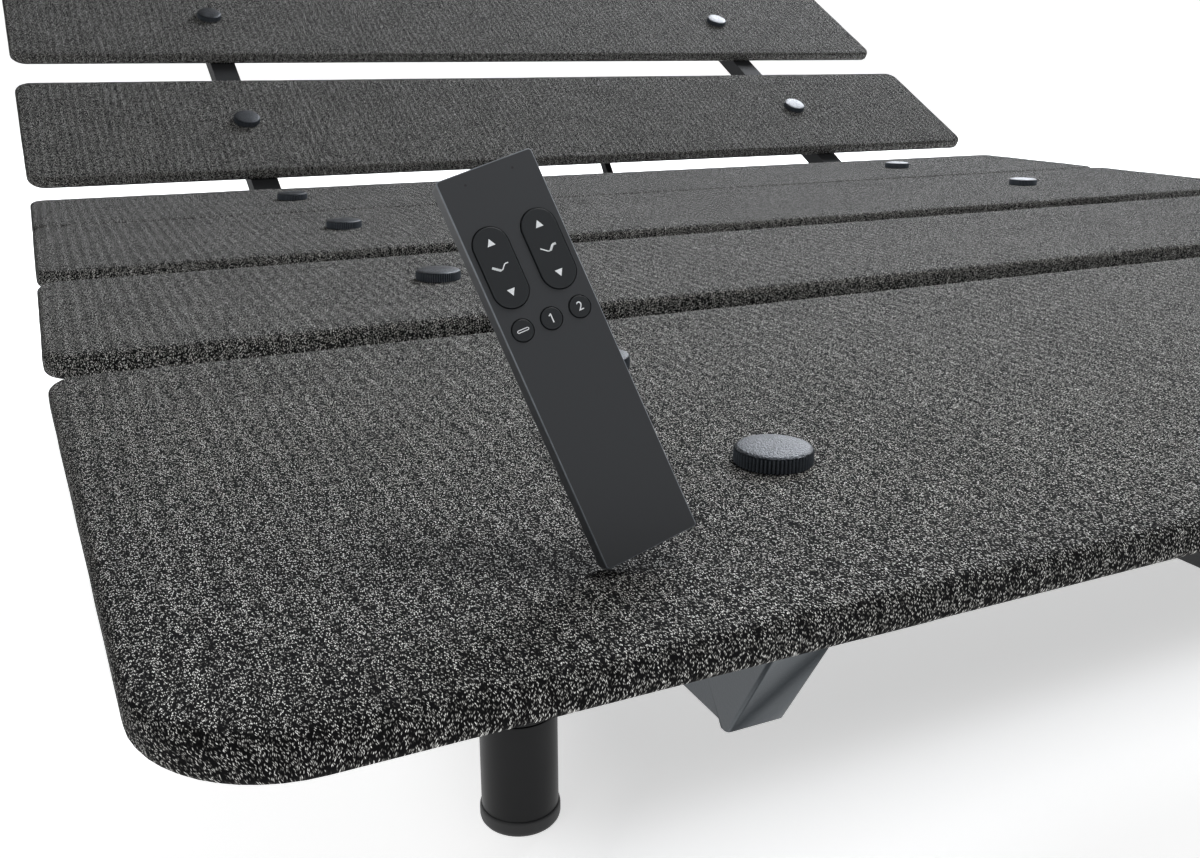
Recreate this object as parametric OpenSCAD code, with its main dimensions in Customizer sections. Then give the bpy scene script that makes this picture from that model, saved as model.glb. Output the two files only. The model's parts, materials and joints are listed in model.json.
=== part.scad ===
// Adjustable bed base: upholstered deck boards on a hinged steel deck frame,
// carried by a powder-coated chassis on stacked round legs. Lengths are in
// millimetres. X is the width, Y runs from the foot end to the head end, Z is up,
// and the floor is z = 0.

/* [Deck] */
// Width of the deck boards
deck_w = 1520; // [1300:10:1900]
// Thickness of a covered board
panel_t = 16; // [14:1:22]
// Radius round the long edges of a covered board
edge_r = 5; // [3:0.5:6]
// Thickness of the knitted cover with its backing
cover_t = 1.5; // [1:0.5:2.5]
// Length of the foot board
foot_l = 424; // [380:2:520]
// How much narrower the foot board is at its foot edge, on each side
foot_taper = 14; // [0:1:24]
// Corner radius of the foot board at its foot edge
foot_corner_r = 48; // [26:1:70]
// Length of the thigh board
thigh_l = 265; // [230:1:330]
// Length of the front seat board
seat_front_l = 282; // [250:1:340]
// Length of the rear seat board
seat_rear_l = 246; // [220:1:300]
// Length of the lower head board
head_lower_l = 242; // [210:1:300]
// Length of the upper head board
head_upper_l = 325; // [280:1:390]
// Corner radius of the other boards
corner_r = 22; // [10:1:26]

/* [Gaps] */
// Gap between foot and thigh boards
knee_gap = 47; // [44:1:60]
// Gap between thigh and seat boards
hip_gap = 46; // [44:1:60]
// Gap between the two seat boards
seat_gap = 4; // [3:1:12]
// Gap between seat and head boards
head_gap = 76; // [70:1:96]
// Gap between the two head boards
head_mid_gap = 73; // [40:1:96]
// How far behind the seat board the head hinge sits
head_hinge_set = 28; // [26:1:32]

/* [Rest pose] */
// Angle of the head section as it is shown
head_rest_deg = 28; // [0:1:60]
// Highest angle of the head section
head_max_deg = 60; // [45:1:65]
// Highest angle of the thigh section
thigh_max_deg = 40; // [30:1:45]

/* [Hand knobs] */
// Distance of the knob rows from the sides of the deck
knob_inset = 293; // [240:1:360]
// Diameter of a knob
knob_d = 36; // [28:1:44]
// Height of a knob
knob_h = 8.5; // [6:0.5:12]
// Number of grip teeth round a knob
knob_teeth = 48; // [24:1:72]
// Depth of the grip teeth
knob_tooth = 0.6; // [0.3:0.1:1]
// Radius of the screw under a knob
stud_r = 4; // [3:0.5:5]
// Height of the screw's end above the floor of its deck rail
stud_end = 4; // [2:1:8]
// First knob row of the foot board, from its foot edge
foot_knob_1 = 131; // [90:1:160]
// Second knob row of the foot board
foot_knob_2 = 313; // [250:1:350]
// Knob row of the thigh board, from its lower edge
thigh_knob = 143; // [110:1:160]
// Knob row of the front seat board, from its foot-side edge
seat_front_knob = 147; // [120:1:170]
// Knob row of the rear seat board, from its foot-side edge
seat_rear_knob = 126; // [100:1:150]
// Knob row of the lower head board, from its lower edge
head_lower_knob = 126; // [100:1:150]
// Knob row of the upper head board that is nearer the seat, from its lower edge
head_knob_1 = 121; // [80:1:140]
// Knob row of the upper head board that is nearer the end
head_knob_2 = 262; // [190:1:270]

/* [Deck frame] */
// Width of a deck rail tube
rail_w = 36; // [30:1:44]
// Height of a deck rail tube
rail_h = 25; // [22:1:32]
// Wall of the deck tubes
rail_wall = 2; // [1.5:0.5:3]
// Width of a deck cross tube
cross_w = 30; // [24:1:40]
// Thickness of a hinge cheek plate
cheek_t = 5; // [4:0.5:8]
// Radius of a hinge pin
pin_r = 6; // [4:0.5:7]
// Drop of the levelling link below the hinge line
link_drop = 52; // [50:1:60]
// Thickness of a levelling link
link_t = 6; // [4:1:8]
// Height of a levelling link
link_h = 26; // [22:1:32]

/* [Chassis] */
// Width of a side rail
beam_w = 30; // [26:1:40]
// Height of a side rail
beam_h = 60; // [50:1:80]
// Wall of the side rails
beam_wall = 2.5; // [2:0.5:4]
// Distance of the side rail's lower corner from the ends of the deck
beam_inset = 137; // [100:1:200]
// Slant of the side rail's end
beam_end_deg = 31; // [0:1:40]
// Height between side rail and deck rail
lift_h = 37; // [34:1:60]
// Height of a chassis cross beam
cross_beam_h = 30; // [24:1:40]
// Length of a chassis cross beam along the bed
cross_beam_l = 40; // [30:1:60]

/* [Legs] */
// Diameter of a leg tube
leg_d = 50; // [40:1:56]
// Length of one leg tube
leg_tube_l = 76; // [50:1:150]
// Distance of a leg from the side of the deck
leg_inset = 242; // [236:1:248]
// Distance of the end legs from the ends of the deck
leg_end_inset = 325; // [280:1:360]
// Height of the foot cap
cap_h = 12; // [8:1:20]
// Thickness of the foot cap under the tube
cap_floor = 4; // [3:1:8]
// Wall of the foot cap round the tube
cap_wall = 1.2; // [1:0.1:2]
// Thickness of the leg's mounting plate
plate_t = 6; // [4:1:10]

/* [Drives] */
// Height of the lever line below the hinge line
lever_h = 105; // [100:1:115]
// Outer width and height of a drive's guide tube
drive_w = 40; // [36:1:44]
// Length of a drive's guide tube
drive_l = 300; // [280:5:320]
// Distance of each drive from the centre line
drive_x = 78; // [70:1:110]
// Radius of a push rod
rod_r = 10; // [8:0.5:12]
// Radius of the push rod's cross pin
rod_pin_r = 6; // [5:0.5:8]
// Thickness of a lever plate
lever_t = 10; // [8:1:14]
// Diameter of a drive motor
motor_d = 54; // [46:1:60]
// Length of a drive motor
motor_l = 110; // [90:5:130]
// Width of the control box
box_w = 228; // [180:2:260]
// Length of the control box
box_l = 160; // [100:2:170]

/* [Handset] */
// Width of the handset
hs_w = 37; // [34:0.5:44]
// Length of the handset
hs_l = 146; // [130:1:170]
// Thickness of the handset
hs_t = 9; // [8:0.5:12]
// Angle at which the handset leans back
hs_lean_deg = 67.4; // [45:0.1:90]
// Angle at which the handset leans sideways
hs_roll_deg = 16.7; // [0:0.1:30]
// Lower corner of the handset, from the left side of the deck
hs_x = 173; // [120:1:260]
// Lower corner of the handset, from the foot edge
hs_y = 53; // [40:1:160]
// Width of a rocker
rocker_w = 13; // [11:0.5:14]
// Length of a rocker
rocker_l = 29.5; // [24:0.5:34]
// Distance of the rockers' centre from the lower end of the handset
rocker_y = 110.8; // [100:0.1:120]
// Distance between the two rockers
rocker_pitch = 18.8; // [17:0.1:21]
// Radius of a round button
button_r = 3.9; // [3:0.1:4.5]
// Distance of the round buttons from the lower end of the handset
button_y = 88; // [80:0.5:92]
// Distance between two round buttons
button_pitch = 11.3; // [10:0.1:12]

/* [Fits] */
// Radial clearance of a hinge pin
pin_play = 0.05; // [0.03:0.01:0.1]
// Clearance of a cross pin in its slot, and of the open end of a levelling link
slot_play = 0.3; // [0.2:0.05:0.6]
// Clearance of a push rod in its guide tube
rod_play = 0.5; // [0.3:0.1:1]
// Side clearance between moving plates
side_play = 1; // [0.5:0.1:2]
// Clearance of a screw in its hole
screw_play = 0.3; // [0.2:0.1:0.6]
// Clearance round a handset button
key_play = 0.35; // [0.25:0.05:0.6]

/* [Hidden] */
$fn = 64;

// heights, from the floor up
leg_top_z = cap_floor + 2 * leg_tube_l;
beam_z = leg_top_z + plate_t;
beam_top_z = beam_z + beam_h;
rail_z = beam_top_z + lift_h;
panel_z = rail_z + rail_h;
deck_z = panel_z + panel_t;
hinge_z = rail_z + rail_h / 2;

// lengths, from the foot edge
thigh_y = foot_l + knee_gap;
seat_y = thigh_y + thigh_l + hip_gap;
seat_rear_y = seat_y + seat_front_l + seat_gap;
seat_end_y = seat_rear_y + seat_rear_l;
head_y = seat_end_y + head_gap;
head_upper_y = head_y + head_lower_l + head_mid_gap;
deck_l = head_upper_y + head_upper_l;
knee_y = foot_l + knee_gap / 2;
hip_y = thigh_y + thigh_l + hip_gap / 2;
head_hinge_y = seat_end_y + head_hinge_set;

// the row's origin is under the middle of the object as it stands
end_rise_z = panel_t - edge_r;
end_y = head_hinge_y + (deck_l - edge_r - head_hinge_y) * cos(head_rest_deg)
  - (deck_z - end_rise_z - hinge_z) * sin(head_rest_deg) + edge_r;
mid_y = end_y / 2;

rail_x = deck_w / 2 - knob_inset;
tongue_w = rail_w - 2 * side_play;
tongue_r = rail_h / 2;
cheek_r = tongue_r + 3;
cheek_reach = 34;
rail_cut = cheek_r + 1.5;
leg_x = deck_w / 2 - leg_inset;
leg_wall = 2;
leg_screw_r = 5;
leg_screw_l = 15;
leg_ys = [leg_end_inset, deck_l / 2, deck_l - leg_end_inset];
head_end_rail_y = deck_l - 20;
rod_z = hinge_z - lever_h;
lever_edge = 10;
head_tube_set = 44; // how far the first head tube sits under its board
head_root = head_gap - head_hinge_set + cross_w / 2 + head_tube_set;
thigh_root = hip_gap / 2 + cross_w / 2 + 8;
head_sweep = head_max_deg / 2;
thigh_sweep = thigh_max_deg / 2;
fork_front = 12;
fork_back = 28;
fork_web = 8;
fork_h = 24;
fork_gap = lever_t + 2 * side_play;
fork_w = fork_gap + 12;
tube_play = 8;
rod_hold = 150;
link_x = rail_x - rail_w / 2 - 20;
link_pin_r = 5;
link_z = hinge_z - link_drop;
cross_beam_z = beam_top_z - cross_beam_h;
key_gap = 1.2;

// the head drive lies to the right of the centre line and pushes to the head end, the thigh drive
// lies to the left and pushes to the foot end
head_pin_y = head_hinge_y + travel(head_sweep, head_rest_deg - head_sweep);
head_tube_y1 = head_hinge_y - travel(head_sweep, head_sweep) - fork_back - fork_web - tube_play;
head_tube_y0 = head_tube_y1 - drive_l;
thigh_pin_y = hip_y + travel(thigh_sweep, thigh_sweep);
thigh_tube_y0 = thigh_pin_y + fork_back + fork_web + tube_play;
thigh_tube_y1 = thigh_tube_y0 + drive_l;
clamp_ys = [head_tube_y0 + 35, thigh_tube_y1 - 45];
cross_beam_ys = [leg_end_inset, clamp_ys[0], clamp_ys[1], deck_l - leg_end_inset];

// ---------------------------------------------------------------- placing

module place() {
  translate([0, -mid_y, 0]) children();
}

// the head section is drawn flat and then raised to its rest angle
module place_head() {
  place() translate([0, head_hinge_y, hinge_z]) rotate([head_rest_deg, 0, 0])
    translate([0, -head_hinge_y, -hinge_z]) children();
}

// left and right copies
module both_sides() {
  for (side = [-1, 1]) translate([side * rail_x, 0, 0]) children();
}

// a mirrored pair: children are drawn on the right
module pair() {
  children();
  mirror([1, 0, 0]) children();
}

// ---------------------------------------------------------------- boards

// cross-section of an edge: w wide from the middle outwards, rounded on the outside
module edge_profile(w, t, e) {
  square([w - e, t]);
  translate([0, e]) square([w, t - 2 * e]);
  translate([w - e, e]) circle(r = e);
  translate([w - e, t - e]) circle(r = e);
}

// straight stretch of edge from a to b, with its outside on the right of a to b
module edge_run(a, b, w, t, e) {
  run = b - a;
  translate([a[0], a[1], 0]) rotate([0, 0, atan2(run[1], run[0])])
    rotate([90, 0, 90]) mirror([1, 0, 0]) linear_extrude(norm(run)) edge_profile(w, t, e);
}

// rounded corner that turns from angle a0 by span
module edge_corner(c, a0, span, r, t, e) {
  translate([c[0], c[1], 0]) rotate([0, 0, a0]) rotate_extrude(angle = span) edge_profile(r, t, e);
}

// a board with round corners and edges, w wide and d long
module slab(w, d, r, t, e) {
  x = w / 2 - r;
  translate([-x, r, 0]) cube([2 * x, d - 2 * r, t]);
  edge_run([-x, r], [x, r], r, t, e);
  edge_run([x, d - r], [-x, d - r], r, t, e);
  pair() {
    edge_run([x, r], [x, d - r], r, t, e);
    edge_corner([x, r], -90, 90, r, t, e);
    edge_corner([x, d - r], 0, 90, r, t, e);
  }
}

// the same with slanted sides: w0 wide at y = 0 and w1 wide at y = d
module tapered_slab(w0, w1, d, r0, r1, t, e) {
  a = atan((w1 - w0) / 2 / d);
  x0 = w0 / 2 - (r0 - r0 * sin(a)) / cos(a);
  x1 = w0 / 2 - (r1 - (d - r1) * sin(a)) / cos(a);
  hull() for (side = [-1, 1]) {
    translate([side * x0, r0, 0]) rotate_extrude($fn = 48) edge_profile(r0, t, e, $fn = 24);
    translate([side * x1, d - r1, 0]) rotate_extrude($fn = 32) edge_profile(r1, t, e, $fn = 24);
  }
}

// the plywood core of a covered board
module core(d) {
  c = cover_t;
  translate([0, c, c]) slab(deck_w - 2 * c, d - 2 * c, corner_r - c, panel_t - 2 * c, edge_r - c);
}

module foot_core() {
  c = cover_t;
  translate([0, c, c]) tapered_slab(
    deck_w - 2 * foot_taper - 2 * c, deck_w - 2 * c, foot_l - 2 * c,
    foot_corner_r - c, corner_r - c, panel_t - 2 * c, edge_r - c
  );
}

module foot_outside() {
  tapered_slab(deck_w - 2 * foot_taper, deck_w, foot_l, foot_corner_r, corner_r, panel_t, edge_r);
}

// screw holes through a board, one row at each given distance
module screw_holes(rows) {
  both_sides() for (y = rows)
    translate([0, y, -1]) cylinder(r = stud_r + screw_play, h = panel_t + 2);
}

// core of a board that starts at y, is d long and lies on the deck rails
module board(y, d, rows) {
  translate([0, y, panel_z]) difference() {
    core(d);
    screw_holes(rows);
  }
}

// cover of the same board: the outside less the core
module cover(y, d, rows) {
  translate([0, y, panel_z]) difference() {
    slab(deck_w, d, corner_r, panel_t, edge_r);
    core(d);
    screw_holes(rows);
  }
}

// outline of a knob: one tooth every 360 / knob_teeth degrees
function knob_outline() = [
  for (i = [0 : 2 * knob_teeth - 1])
    let (r = knob_d / 2 - (i % 2) * knob_tooth, a = i * 180 / knob_teeth)
      [r * cos(a), r * sin(a)]
];

// hand knob: toothed rim, low crowned top and the screw that holds the board down
module knob() {
  crown_h = 2;
  rim_h = knob_h - crown_h;
  crown_r = knob_d / 2 - knob_tooth - 0.4;
  translate([0, 0, deck_z]) {
    linear_extrude(rim_h) polygon(knob_outline());
    rotate_extrude() polygon([
      [0, 1], [crown_r, 1], [crown_r, rim_h + 0.4 * crown_h], [crown_r - crown_h, knob_h - 0.2 * crown_h],
      [crown_r / 2, knob_h], [0, knob_h]
    ]);
  }
  stud_z = rail_z + rail_wall + stud_end;
  translate([0, 0, stud_z]) cylinder(r = stud_r, h = deck_z + 2 - stud_z);
}

module knobs(rows) {
  both_sides() for (y = rows) translate([0, y, 0]) knob();
}

// ---------------------------------------------------------------- deck frame

// rectangular tube along Y, centred on x = 0
module tube_y(y0, y1, z, w, h, wall) {
  translate([-w / 2, y0, z]) difference() {
    cube([w, y1 - y0, h]);
    translate([wall, -1, wall]) cube([w - 2 * wall, y1 - y0 + 2, h - 2 * wall]);
  }
}

// rectangular tube along X between two x values, centred on y
module tube_x(x0, x1, y, z, w, h, wall) {
  translate([x0, y - w / 2, z]) difference() {
    cube([x1 - x0, w, h]);
    translate([-1, wall, wall]) cube([x1 - x0 + 2, w - 2 * wall, h - 2 * wall]);
  }
}

// one deck rail with screw holes through its top wall
module deck_rail(y0, y1, rows) {
  difference() {
    tube_y(y0, y1, rail_z, rail_w, rail_h, rail_wall);
    for (y = rows) translate([0, y, rail_z + rail_h / 2])
      cylinder(r = stud_r + screw_play, h = rail_h);
  }
}

// hinge tongue: fills the tube's end at y_tube and reaches the pin at y_pin
module tongue(y_pin, y_tube) {
  plug = 20;
  dir = y_tube > y_pin ? 1 : -1;
  difference() {
    union() {
      translate([-tongue_w / 2, min(y_pin, y_tube), hinge_z - tongue_r])
        cube([tongue_w, abs(y_tube - y_pin), 2 * tongue_r]);
      translate([-rail_w / 2 + rail_wall, min(y_tube, y_tube + dir * plug), rail_z + rail_wall])
        cube([rail_w - 2 * rail_wall, plug, rail_h - 2 * rail_wall]);
      translate([-tongue_w / 2, y_pin, hinge_z]) rotate([0, 90, 0])
        cylinder(r = tongue_r, h = tongue_w);
    }
    translate([-tongue_w, y_pin, hinge_z]) rotate([0, 90, 0])
      cylinder(r = pin_r + pin_play, h = 2 * tongue_w);
  }
}

// the two cheek plates beside a rail's end, from y_pin back over the rail by cheek_reach
module cheeks(y_pin, dir) {
  for (side = [-1, 1])
    translate([side * (rail_w + cheek_t) / 2 - cheek_t / 2, y_pin, hinge_z]) difference() {
      union() {
        rotate([0, 90, 0]) cylinder(r = cheek_r, h = cheek_t);
        translate([0, dir > 0 ? 0 : -rail_cut - cheek_reach, -tongue_r])
          cube([cheek_t, rail_cut + cheek_reach, 2 * tongue_r]);
      }
      translate([-1, 0, 0]) rotate([0, 90, 0]) cylinder(r = pin_r, h = cheek_t + 2);
    }
}

// hinge pin with a low head outside each cheek
module hinge_pin(y_pin) {
  span = rail_w + 2 * cheek_t;
  translate([-span / 2, y_pin, hinge_z]) rotate([0, 90, 0]) cylinder(r = pin_r, h = span);
  for (side = [-1, 1])
    translate([side * (span / 2 + 1.5) - 1.5, y_pin, hinge_z]) rotate([0, 90, 0])
      cylinder(r = pin_r + 3, h = 3);
}

// ---------------------------------------------------------------- levers

// travel of a push rod's pin per radian, as a share of the lever height, for a swing of +-sweep
function gain(sweep) = 1 + 0.3 * pow(sweep * PI / 180, 2);

// travel of the pin from the middle of the sweep when the section has swung by a from there
function travel(sweep, a) = gain(sweep) * lever_h * a * PI / 180;

// a point turned by a about the hinge
function swing(p, a) = [p[0] * cos(a) - p[1] * sin(a), p[0] * sin(a) + p[1] * cos(a)];

// the pin as it is seen from the lever after a swing of a
function pin_seen(sweep, a) = swing([travel(sweep, a), -lever_h], -a);

// straight slot in which the pin rides: it takes every place the pin is seen at
module pin_slot(sweep) {
  steps = 12;
  r = rod_pin_r + slot_play;
  seen = [for (i = [-steps : steps]) pin_seen(sweep, sweep * i / steps)];
  side = max([for (p = seen) p[0]]) + r;
  low = min([for (p = seen) p[1]]) - r;
  high = max([for (p = seen) p[1]]) + r;
  rotate(-sweep) translate([-side, low]) square([2 * side, high - low]);
}

// lever plate while its section lies flat; the hinge is at [0, 0] and root is the weld
module lever_outline(sweep, root) {
  half = rod_pin_r + lever_edge;
  top = lever_edge - lever_h;
  low = pin_seen(sweep, sweep)[1] - rod_pin_r - lever_edge;
  difference() {
    polygon([
      [root - cross_w / 2, -tongue_r], swing([-half, top], -sweep), swing([-half, low], -sweep),
      swing([half, low], -sweep), swing([half, top], -sweep), [root + cross_w / 2, -tongue_r]
    ]);
    pin_slot(sweep);
  }
}

// lever of the section on the head side of the hinge
module lever(sweep, root) {
  translate([-lever_t / 2, 0, 0]) rotate([90, 0, 90]) linear_extrude(lever_t) lever_outline(sweep, root);
}

// ---------------------------------------------------------------- chassis

// side rail outline in the Y-Z plane, with slanted ends
function beam_slant() = beam_h * tan(beam_end_deg);

module side_rails() color("dimgray") place() both_sides() difference() {
  translate([-beam_w / 2, 0, 0]) rotate([90, 0, 90]) linear_extrude(beam_w) polygon([
    [beam_inset, beam_z], [deck_l - beam_inset, beam_z],
    [deck_l - beam_inset + beam_slant(), beam_top_z], [beam_inset - beam_slant(), beam_top_z]
  ]);
  translate([-beam_w / 2 + beam_wall, 0, beam_z + beam_wall])
    cube([beam_w - 2 * beam_wall, deck_l, beam_h - 2 * beam_wall]);
}

// folded cap over a slanted rail end, with a small ear on each side; y runs inwards
module rail_cap() {
  sheet = 2.5;
  ear_t = 1.5;
  ear_low = 3;
  ear_high = 22;
  ear_z = beam_z + 27;
  translate([-beam_w / 2 - ear_t, 0, 0]) rotate([90, 0, 90]) linear_extrude(beam_w + 2 * ear_t)
    polygon([
      [beam_inset, beam_z], [beam_inset - beam_slant(), beam_top_z],
      [beam_inset - beam_slant() - sheet, beam_top_z], [beam_inset - sheet, beam_z]
    ]);
  for (side = [-1, 1])
    translate([side * (beam_w + ear_t) / 2 - ear_t / 2, 0, 0]) rotate([90, 0, 90])
      linear_extrude(ear_t) polygon([
        [beam_inset, beam_z], [beam_inset + ear_low, beam_z],
        [beam_inset + ear_high, ear_z], [beam_inset - beam_slant(), beam_top_z]
      ]);
}

module foot_rail_caps() color("dimgray") place() both_sides() rail_cap();

module head_rail_caps() color("dimgray") place()
  translate([0, deck_l, 0]) mirror([0, 1, 0]) both_sides() rail_cap();

// cross beams between the side rails, butted on the upper part of the rails

module cross_beams() color("dimgray") place() for (y = cross_beam_ys)
  tube_x(-rail_x + beam_w / 2, rail_x - beam_w / 2, y, cross_beam_z, cross_beam_l, cross_beam_h, beam_wall);

// outrigger beside the rail with the plate that the leg screws into
module leg_bracket() {
  stub_w = 36;
  stub_h = 30;
  plate_w = leg_d + 10;
  x0 = rail_x + beam_w / 2;
  x1 = leg_x + plate_w / 2;
  difference() {
    union() {
      translate([x0, -stub_w / 2, beam_z]) cube([x1 - x0, stub_w, stub_h]);
      translate([x0, -plate_w / 2, leg_top_z]) cube([x1 - x0, plate_w, plate_t]);
    }
    translate([leg_x, 0, leg_top_z - 1]) cylinder(r = leg_screw_r + screw_play, h = plate_t + 20);
  }
}

module leg_brackets() color("dimgray") place() pair() for (y = leg_ys)
  translate([0, y, 0]) leg_bracket();

module at_legs() {
  for (side = [-1, 1]) for (y = leg_ys) translate([side * leg_x, y, 0]) children();
}

// a leg tube with a screw in its top end; closed adds the threaded plug in its lower end
module leg_tube(z, closed) {
  top_plug = 6;
  low_plug = closed ? 18 : -1;
  difference() {
    union() {
      translate([0, 0, z]) cylinder(d = leg_d, h = leg_tube_l);
      translate([0, 0, z + leg_tube_l - 1]) cylinder(r = leg_screw_r, h = leg_screw_l + 1);
    }
    translate([0, 0, z + low_plug])
      cylinder(r = leg_d / 2 - leg_wall, h = leg_tube_l - low_plug - top_plug);
    if (closed) translate([0, 0, z - 1]) cylinder(r = leg_screw_r + screw_play, h = low_plug + 2);
  }
}

module legs_upper() color("#1c1d1f") place() at_legs() leg_tube(cap_floor + leg_tube_l, true);

module legs_lower() color("#1c1d1f") place() at_legs() leg_tube(cap_floor, false);

cap_d = leg_d + 2 * cap_wall;
cap_bevel = 1.5;

module leg_caps() color("#141416") place() at_legs() difference() {
  union() {
    cylinder(d1 = cap_d - 2 * cap_bevel, d2 = cap_d, h = cap_bevel);
    translate([0, 0, cap_bevel]) cylinder(d = cap_d, h = cap_h - cap_bevel);
  }
  translate([0, 0, cap_floor]) cylinder(d = leg_d, h = cap_h);
}

// posts with rubber pads on which the flat sections come to rest
post_from_end = 90;
post_from_leg = 60;
post_ys = [
  beam_inset + post_from_end, leg_end_inset + post_from_leg, deck_l - leg_end_inset - post_from_leg
];
pad_h = 6;
pad_play = 0.3;
post_w = 24;

module deck_posts() color("dimgray") place() both_sides() for (y = post_ys)
  tube_y(y - post_w / 2, y + post_w / 2, beam_top_z, post_w, lift_h - pad_h, rail_wall);

module deck_pads() color("#141416") place() both_sides() for (y = post_ys)
  translate([-post_w / 2, y - post_w / 2, rail_z - pad_h]) cube([post_w, post_w, pad_h - pad_play]);

seat_tube_ys = [seat_y + 90, seat_end_y - 60];
upright_ys = [seat_y + 40, seat_tube_ys[1]];
upright_l = 44;

module seat_uprights() color("dimgray") place() both_sides() for (y = upright_ys)
  translate([-beam_w / 2, y - upright_l / 2, beam_top_z]) difference() {
    cube([beam_w, upright_l, lift_h]);
    translate([rail_wall, rail_wall, -1])
      cube([beam_w - 2 * rail_wall, upright_l - 2 * rail_wall, lift_h + 2]);
  }

// ---------------------------------------------------------------- seat

seat_rows = [seat_y + seat_front_knob, seat_rear_y + seat_rear_knob];

module seat_rails() color("dimgray") place() both_sides()
  deck_rail(hip_y + rail_cut, head_hinge_y - rail_cut, seat_rows);

module seat_cross_tubes() color("dimgray") place() for (y = seat_tube_ys)
  tube_x(-rail_x + rail_w / 2, rail_x - rail_w / 2, y, rail_z, cross_w, rail_h, rail_wall);

module seat_hinge_cheeks() color("dimgray") place() both_sides() {
  cheeks(hip_y, 1);
  cheeks(head_hinge_y, -1);
}

module seat_hinge_pins() color("silver") place() both_sides() {
  hinge_pin(hip_y);
  hinge_pin(head_hinge_y);
}

link_weld = cheek_reach + 20;

// plate beside the right-hand link, welded to its rail at a distance reach from the pin, with the
// pin that the link turns on; drawn with the pin at y = 0 and the weld on the head side
module link_plate(reach) {
  w = 30;
  head_t = 3;
  x0 = link_x + link_t / 2 + side_play;
  x_head = link_x - link_t / 2 - side_play - head_t;
  translate([x0, 0, 0]) rotate([90, 0, 90]) linear_extrude(link_t) {
    polygon([
      [-w / 2, link_z], [w / 2, link_z], [reach + w / 2, rail_z + 2], [reach + w / 2, panel_z - 2],
      [reach - w / 2, panel_z - 2], [-w / 2, rail_z - 6]
    ]);
    translate([0, link_z]) circle(r = w / 2);
  }
  translate([x0 + link_t, reach - w / 2, rail_z + 2])
    cube([rail_x - rail_w / 2 - x0 - link_t, w, rail_h - 4]);
  translate([x_head, 0, link_z]) rotate([0, 90, 0]) {
    cylinder(r = link_pin_r, h = x0 - x_head + link_t / 2);
    cylinder(r = link_pin_r + 3, h = head_t);
  }
}

module link_brackets() color("dimgray") place() pair() translate([0, hip_y, 0])
  link_plate(rail_cut + link_weld);

module seat_front_board() color("burlywood") place()
  board(seat_y, seat_front_l, [seat_front_knob]);

module seat_front_cover() color("#2c2c2e") place()
  cover(seat_y, seat_front_l, [seat_front_knob]);

module seat_rear_board() color("burlywood") place()
  board(seat_rear_y, seat_rear_l, [seat_rear_knob]);

module seat_rear_cover() color("#2c2c2e") place()
  cover(seat_rear_y, seat_rear_l, [seat_rear_knob]);

module seat_knobs() color("#18191b") place() knobs(seat_rows);

// ---------------------------------------------------------------- drives

module drive_tube(y0, y1) {
  bore = rod_r + rod_play;
  difference() {
    translate([-drive_w / 2, y0, rod_z - drive_w / 2]) cube([drive_w, y1 - y0, drive_w]);
    translate([0, y0 - 1, rod_z]) rotate([-90, 0, 0]) cylinder(r = bore, h = y1 - y0 + 2);
  }
}

module head_drive_tube() color("#2b2c2e") place() translate([drive_x, 0, 0])
  drive_tube(head_tube_y0, head_tube_y1);

module thigh_drive_tube() color("#2b2c2e") place() translate([-drive_x, 0, 0])
  drive_tube(thigh_tube_y0, thigh_tube_y1);

// gearbox at the closed end of the guide tube, with the round motor beside it; dir points away
// from the rod
module drive_motor(y, dir, out) {
  gear_l = 74;
  gear_w = drive_w + 16;
  gear_h = drive_w + 10;
  neck_l = 11;
  end_l = 5;
  translate([-gear_w / 2, dir > 0 ? y : y - gear_l, rod_z - gear_h / 2]) cube([gear_w, gear_l, gear_h]);
  translate([out * (gear_w / 2 - 1), y + dir * gear_l / 2, rod_z]) rotate([0, out * 90, 0]) {
    cylinder(d = gear_h - 8, h = neck_l + 1);
    translate([0, 0, neck_l]) cylinder(d = motor_d, h = motor_l);
    translate([0, 0, neck_l + motor_l - 1]) cylinder(d = motor_d - 10, h = end_l + 1);
  }
}

module head_drive_motor() color("#1a1b1c") place() translate([drive_x, 0, 0])
  drive_motor(head_tube_y0, -1, 1);

module thigh_drive_motor() color("#1a1b1c") place() translate([-drive_x, 0, 0])
  drive_motor(thigh_tube_y1, 1, -1);

// straps that hold the guide tubes under the chassis cross beams
module drive_clamp(y) {
  strap = 3;
  l = cross_beam_l - 8;
  top = cross_beam_z;
  translate([-drive_w / 2 - strap, y - l / 2, rod_z - drive_w / 2 - strap]) difference() {
    cube([drive_w + 2 * strap, l, top - (rod_z - drive_w / 2 - strap)]);
    translate([strap, -1, strap]) cube([drive_w, l + 2, drive_w]);
  }
}

module drive_clamps() color("dimgray") place()
  for (x = [-drive_x, drive_x]) for (y = clamp_ys) translate([x, 0, 0]) drive_clamp(y);

// push rod with its fork and cross pin, which is at y = 0; the guide tube starts reach behind it
module push_rod(reach) {
  root = fork_back + fork_web / 2;
  translate([0, -root, rod_z]) rotate([90, 0, 0]) cylinder(r = rod_r, h = reach + rod_hold - root);
  translate([0, 0, rod_z]) difference() {
    translate([-fork_w / 2, -fork_back - fork_web, -fork_h / 2])
      cube([fork_w, fork_front + fork_back + fork_web, fork_h]);
    translate([-fork_gap / 2, -fork_back, -fork_h / 2 - 1])
      cube([fork_gap, fork_back + fork_front + 1, fork_h + 2]);
  }
  translate([-fork_w / 2 - 3, 0, rod_z]) rotate([0, 90, 0]) cylinder(r = rod_pin_r, h = fork_w + 6);
}

module head_push_rod() color("silver") place() translate([drive_x, head_pin_y, 0])
  push_rod(head_pin_y - head_tube_y1);

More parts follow.
